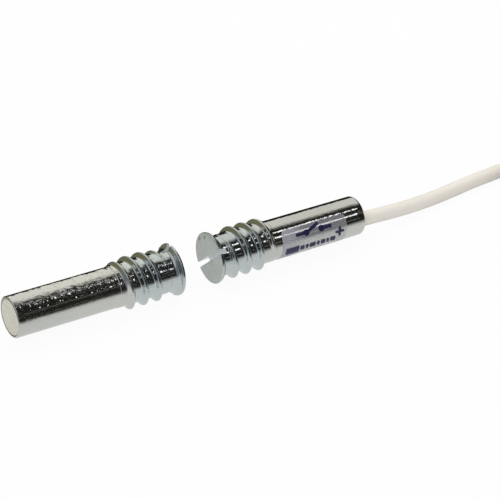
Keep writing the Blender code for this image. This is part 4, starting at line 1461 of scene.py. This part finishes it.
@dataclass
class Studio:
    """A white floor, soft lamps, and a room that the metal mirrors.

    The room is set by direction alone: a cream soft box above and behind, small lamps overhead
    and towards the front on the right, a dark horizon, a grey and olive wall with a pale ceiling
    on the left, a dim front with a few pale things in it, and the light floor below.
    """

    ambient: float = 0.66
    key_power: float = 1.4
    fill_power: float = 0.85
    lamp_distance: float = 0.55
    floor_size: float = 3.0
    floor_glow: float = 0.94
    floor_grey: float = 0.80
    box_tone: Colour = (0.86, 0.85, 0.79)
    floor_tone: Colour = (0.665, 0.675, 0.665)
    right_box_tone: Colour = (0.72, 0.715, 0.67)
    dark_tone: Colour = (0.014, 0.0135, 0.010)
    olive_tone: Colour = (0.185, 0.178, 0.105)
    wall_tone: Colour = (0.17, 0.185, 0.205)
    ceiling_tone: Colour = (0.52, 0.53, 0.51)
    thing_tone: Colour = (0.20, 0.20, 0.21)
    lamp_tone: Colour = (1.7, 1.7, 1.75)
    left_lamp_tone: Colour = (0.62, 0.62, 0.64)
    thing_scale: float = 11.0
    thing_fade: Pair = (0.58, 0.68)
    left_fade: Pair = (0.0, -0.25)
    behind_fade: Pair = (0.15, 0.45)
    front_fade: Pair = (0.25, 0.0)
    ceiling_fade: Pair = (0.44, 0.66)
    near_floor_fade: Pair = (-0.06, -0.46)
    far_floor_fade: Pair = (-0.40, -0.46)
    panels: tuple[Panel, ...] = (
        Panel(13, 62, -0.02, 0.64, 3, 36, box_tone),
        Panel(26, 62, 0.46, 0.64, 8, 36, right_box_tone),
        Panel(-20, 20, 0.46, 0.70, 4, 4, dark_tone),
        Panel(104, 107, 0.25, 0.41, 2, 2, left_lamp_tone, 0.02),
        Panel(113, 117, 0.44, 0.52, 2, 2, lamp_tone, 0.015),
        Panel(144, 148, 0.44, 0.52, 2, 2, lamp_tone, 0.015),
        Panel(172, 174, 0.44, 0.52, 2, 2, thing_tone, 0.015),
    )

    def room(self, kit: Shader) -> Socket:
        """The room's colour in each direction.

        Args:
            kit: Builder of the world's tree.

        Returns:
            The colour that metal and glass show.
        """
        direction = kit.node("TexCoord").outputs["Generated"]
        axes = kit.axes(direction)
        left = kit.fade(axes["X"], *self.left_fade)
        behind = kit.fade(axes["Y"], *self.behind_fade)
        in_front = kit.fade(axes["Y"], *self.front_fade)
        high = kit.fade(axes["Z"], *self.ceiling_fade)
        things = kit.fade(kit.noise(direction, self.thing_scale, 3.0, 0.6), *self.thing_fade)
        room = rgba(self.dark_tone)
        for share, tone in (
            (kit.product(things, in_front), self.thing_tone),
            (left, self.wall_tone),
            (kit.product(left, behind), self.olive_tone),
            (kit.product(left, high), self.ceiling_tone),
        ):
            room = kit.mixed(share, room, rgba(tone))
        about = kit.about(direction, 0.0)
        for panel in self.panels:
            room = kit.mixed(panel.share(kit, about, axes["X"]), room, rgba(panel.tone))
        near_floor = kit.product(kit.fade(axes["Z"], *self.near_floor_fade), in_front)
        far_floor = kit.fade(axes["Z"], *self.far_floor_fade)
        floor = kit.math("MAXIMUM", near_floor, far_floor)
        return kit.mixed(floor, room, rgba(self.floor_tone))

    def world(self) -> None:
        """Build the world: white to the camera, the room to metal, even light to the rest."""
        world = bpy.data.worlds.new("studio")
        bpy.context.scene.world = world
        world.use_nodes = True
        world.node_tree.nodes.clear()
        kit = Shader(world.node_tree)
        even, in_metal = kit.background(rgba(WHITE), self.ambient), kit.background(self.room(kit))
        path = kit.node("LightPath").outputs
        mirrored = kit.math("MAXIMUM", path["Is Glossy Ray"], path["Is Transmission Ray"])
        unseen = kit.blended(mirrored, even, in_metal)
        surface = kit.blended(path["Is Camera Ray"], unseen, kit.background(rgba(WHITE)))
        kit.node("OutputWorld", {"Surface": surface})

    def floor(self) -> None:
        """Lay the pale floor, which keeps a faint shadow of the object."""
        Bench.clear_selection()
        bpy.ops.mesh.primitive_plane_add(size=self.floor_size)
        floor = bpy.context.object
        floor.name = "floor"
        floor.visible_glossy = False
        floor.visible_transmission = False
        material = bpy.data.materials.new("floor_white")
        material.use_nodes = True
        material.node_tree.nodes.clear()
        kit = Shader(material.node_tree)
        lit = kit.node("BsdfDiffuse", {"Color": rgba((self.floor_grey,) * 3)}).outputs[0]
        white = kit.node("Emission", {"Color": rgba(WHITE), "Strength": 1.0}).outputs[0]
        share = kit.product(kit.node("LightPath").outputs["Is Camera Ray"], self.floor_glow)
        kit.node("OutputMaterial", {"Surface": kit.blended(share, lit, white)})
        floor.data.materials.append(material)

    def lamp(self, name: str, direction: Point, size: float, power: float, colour: Colour) -> None:
        """Hang one soft square lamp that shines at the object and isn't mirrored itself.

        Args:
            name: The lamp's name.
            direction: Where it hangs, seen from the object.
            size: Length of its sides.
            power: Its power in watts.
            colour: Its light's colour.
        """
        data = bpy.data.lights.new(name, "AREA")
        data.shape = "SQUARE"
        data.size = size
        data.energy = power
        data.color = colour
        lamp = bpy.data.objects.new(name, data)
        away = Vector(direction).normalized()
        lamp.location = away * self.lamp_distance
        lamp.rotation_euler = (-away).to_track_quat("-Z", "Y").to_euler()
        lamp.visible_glossy = False
        bpy.context.collection.objects.link(lamp)

    def build(self) -> None:
        """Set up the light, the floor and the colour handling."""
        self.world()
        self.floor()
        self.lamp("key_lamp", (0.35, 0.35, 0.87), 0.5, self.key_power, (1.0, 0.985, 0.95))
        self.lamp("fill_lamp", (-0.62, -0.55, 0.55), 0.4, self.fill_power, (0.95, 0.98, 1.0))
        bpy.context.scene.view_settings.view_transform = "Standard"


def main() -> None:
    """Build everything in order, with a log line for each piece."""
    logging.basicConfig(level=logging.INFO, format="%(name)s: %(message)s")
    PhotoCamera().build()
    plan = Plan()
    Cable(plan).build()
    Shell(
        name="contact_shell", node="contact_housing", body="contact", place=plan.contact(),
        slot_angle=math.radians(140.6), bore_radius=plan.contact_bore, edge_round=0.6 * MM,
        plating=Finishes.contact_zinc, length=plan.unit_length, body_radius=plan.body_radius,
        marks=((3.5 * MM, 2.7 * MM), (1.62 * MM, 3.85 * MM)),
    ).build()
    Shell(
        name="magnet_shell", node="magnet_housing", body="magnet", place=plan.magnet(),
        slot_angle=math.radians(96), bore_radius=plan.magnet_bore, edge_round=0.25 * MM,
        plating=Finishes.magnet_zinc, length=plan.unit_length, body_radius=plan.body_radius,
    ).build()
    Label(plan).build()
    Plugs(plan).build()
    InnerPieces().build()
    Studio().build()


if __name__ == "__main__":
    main()
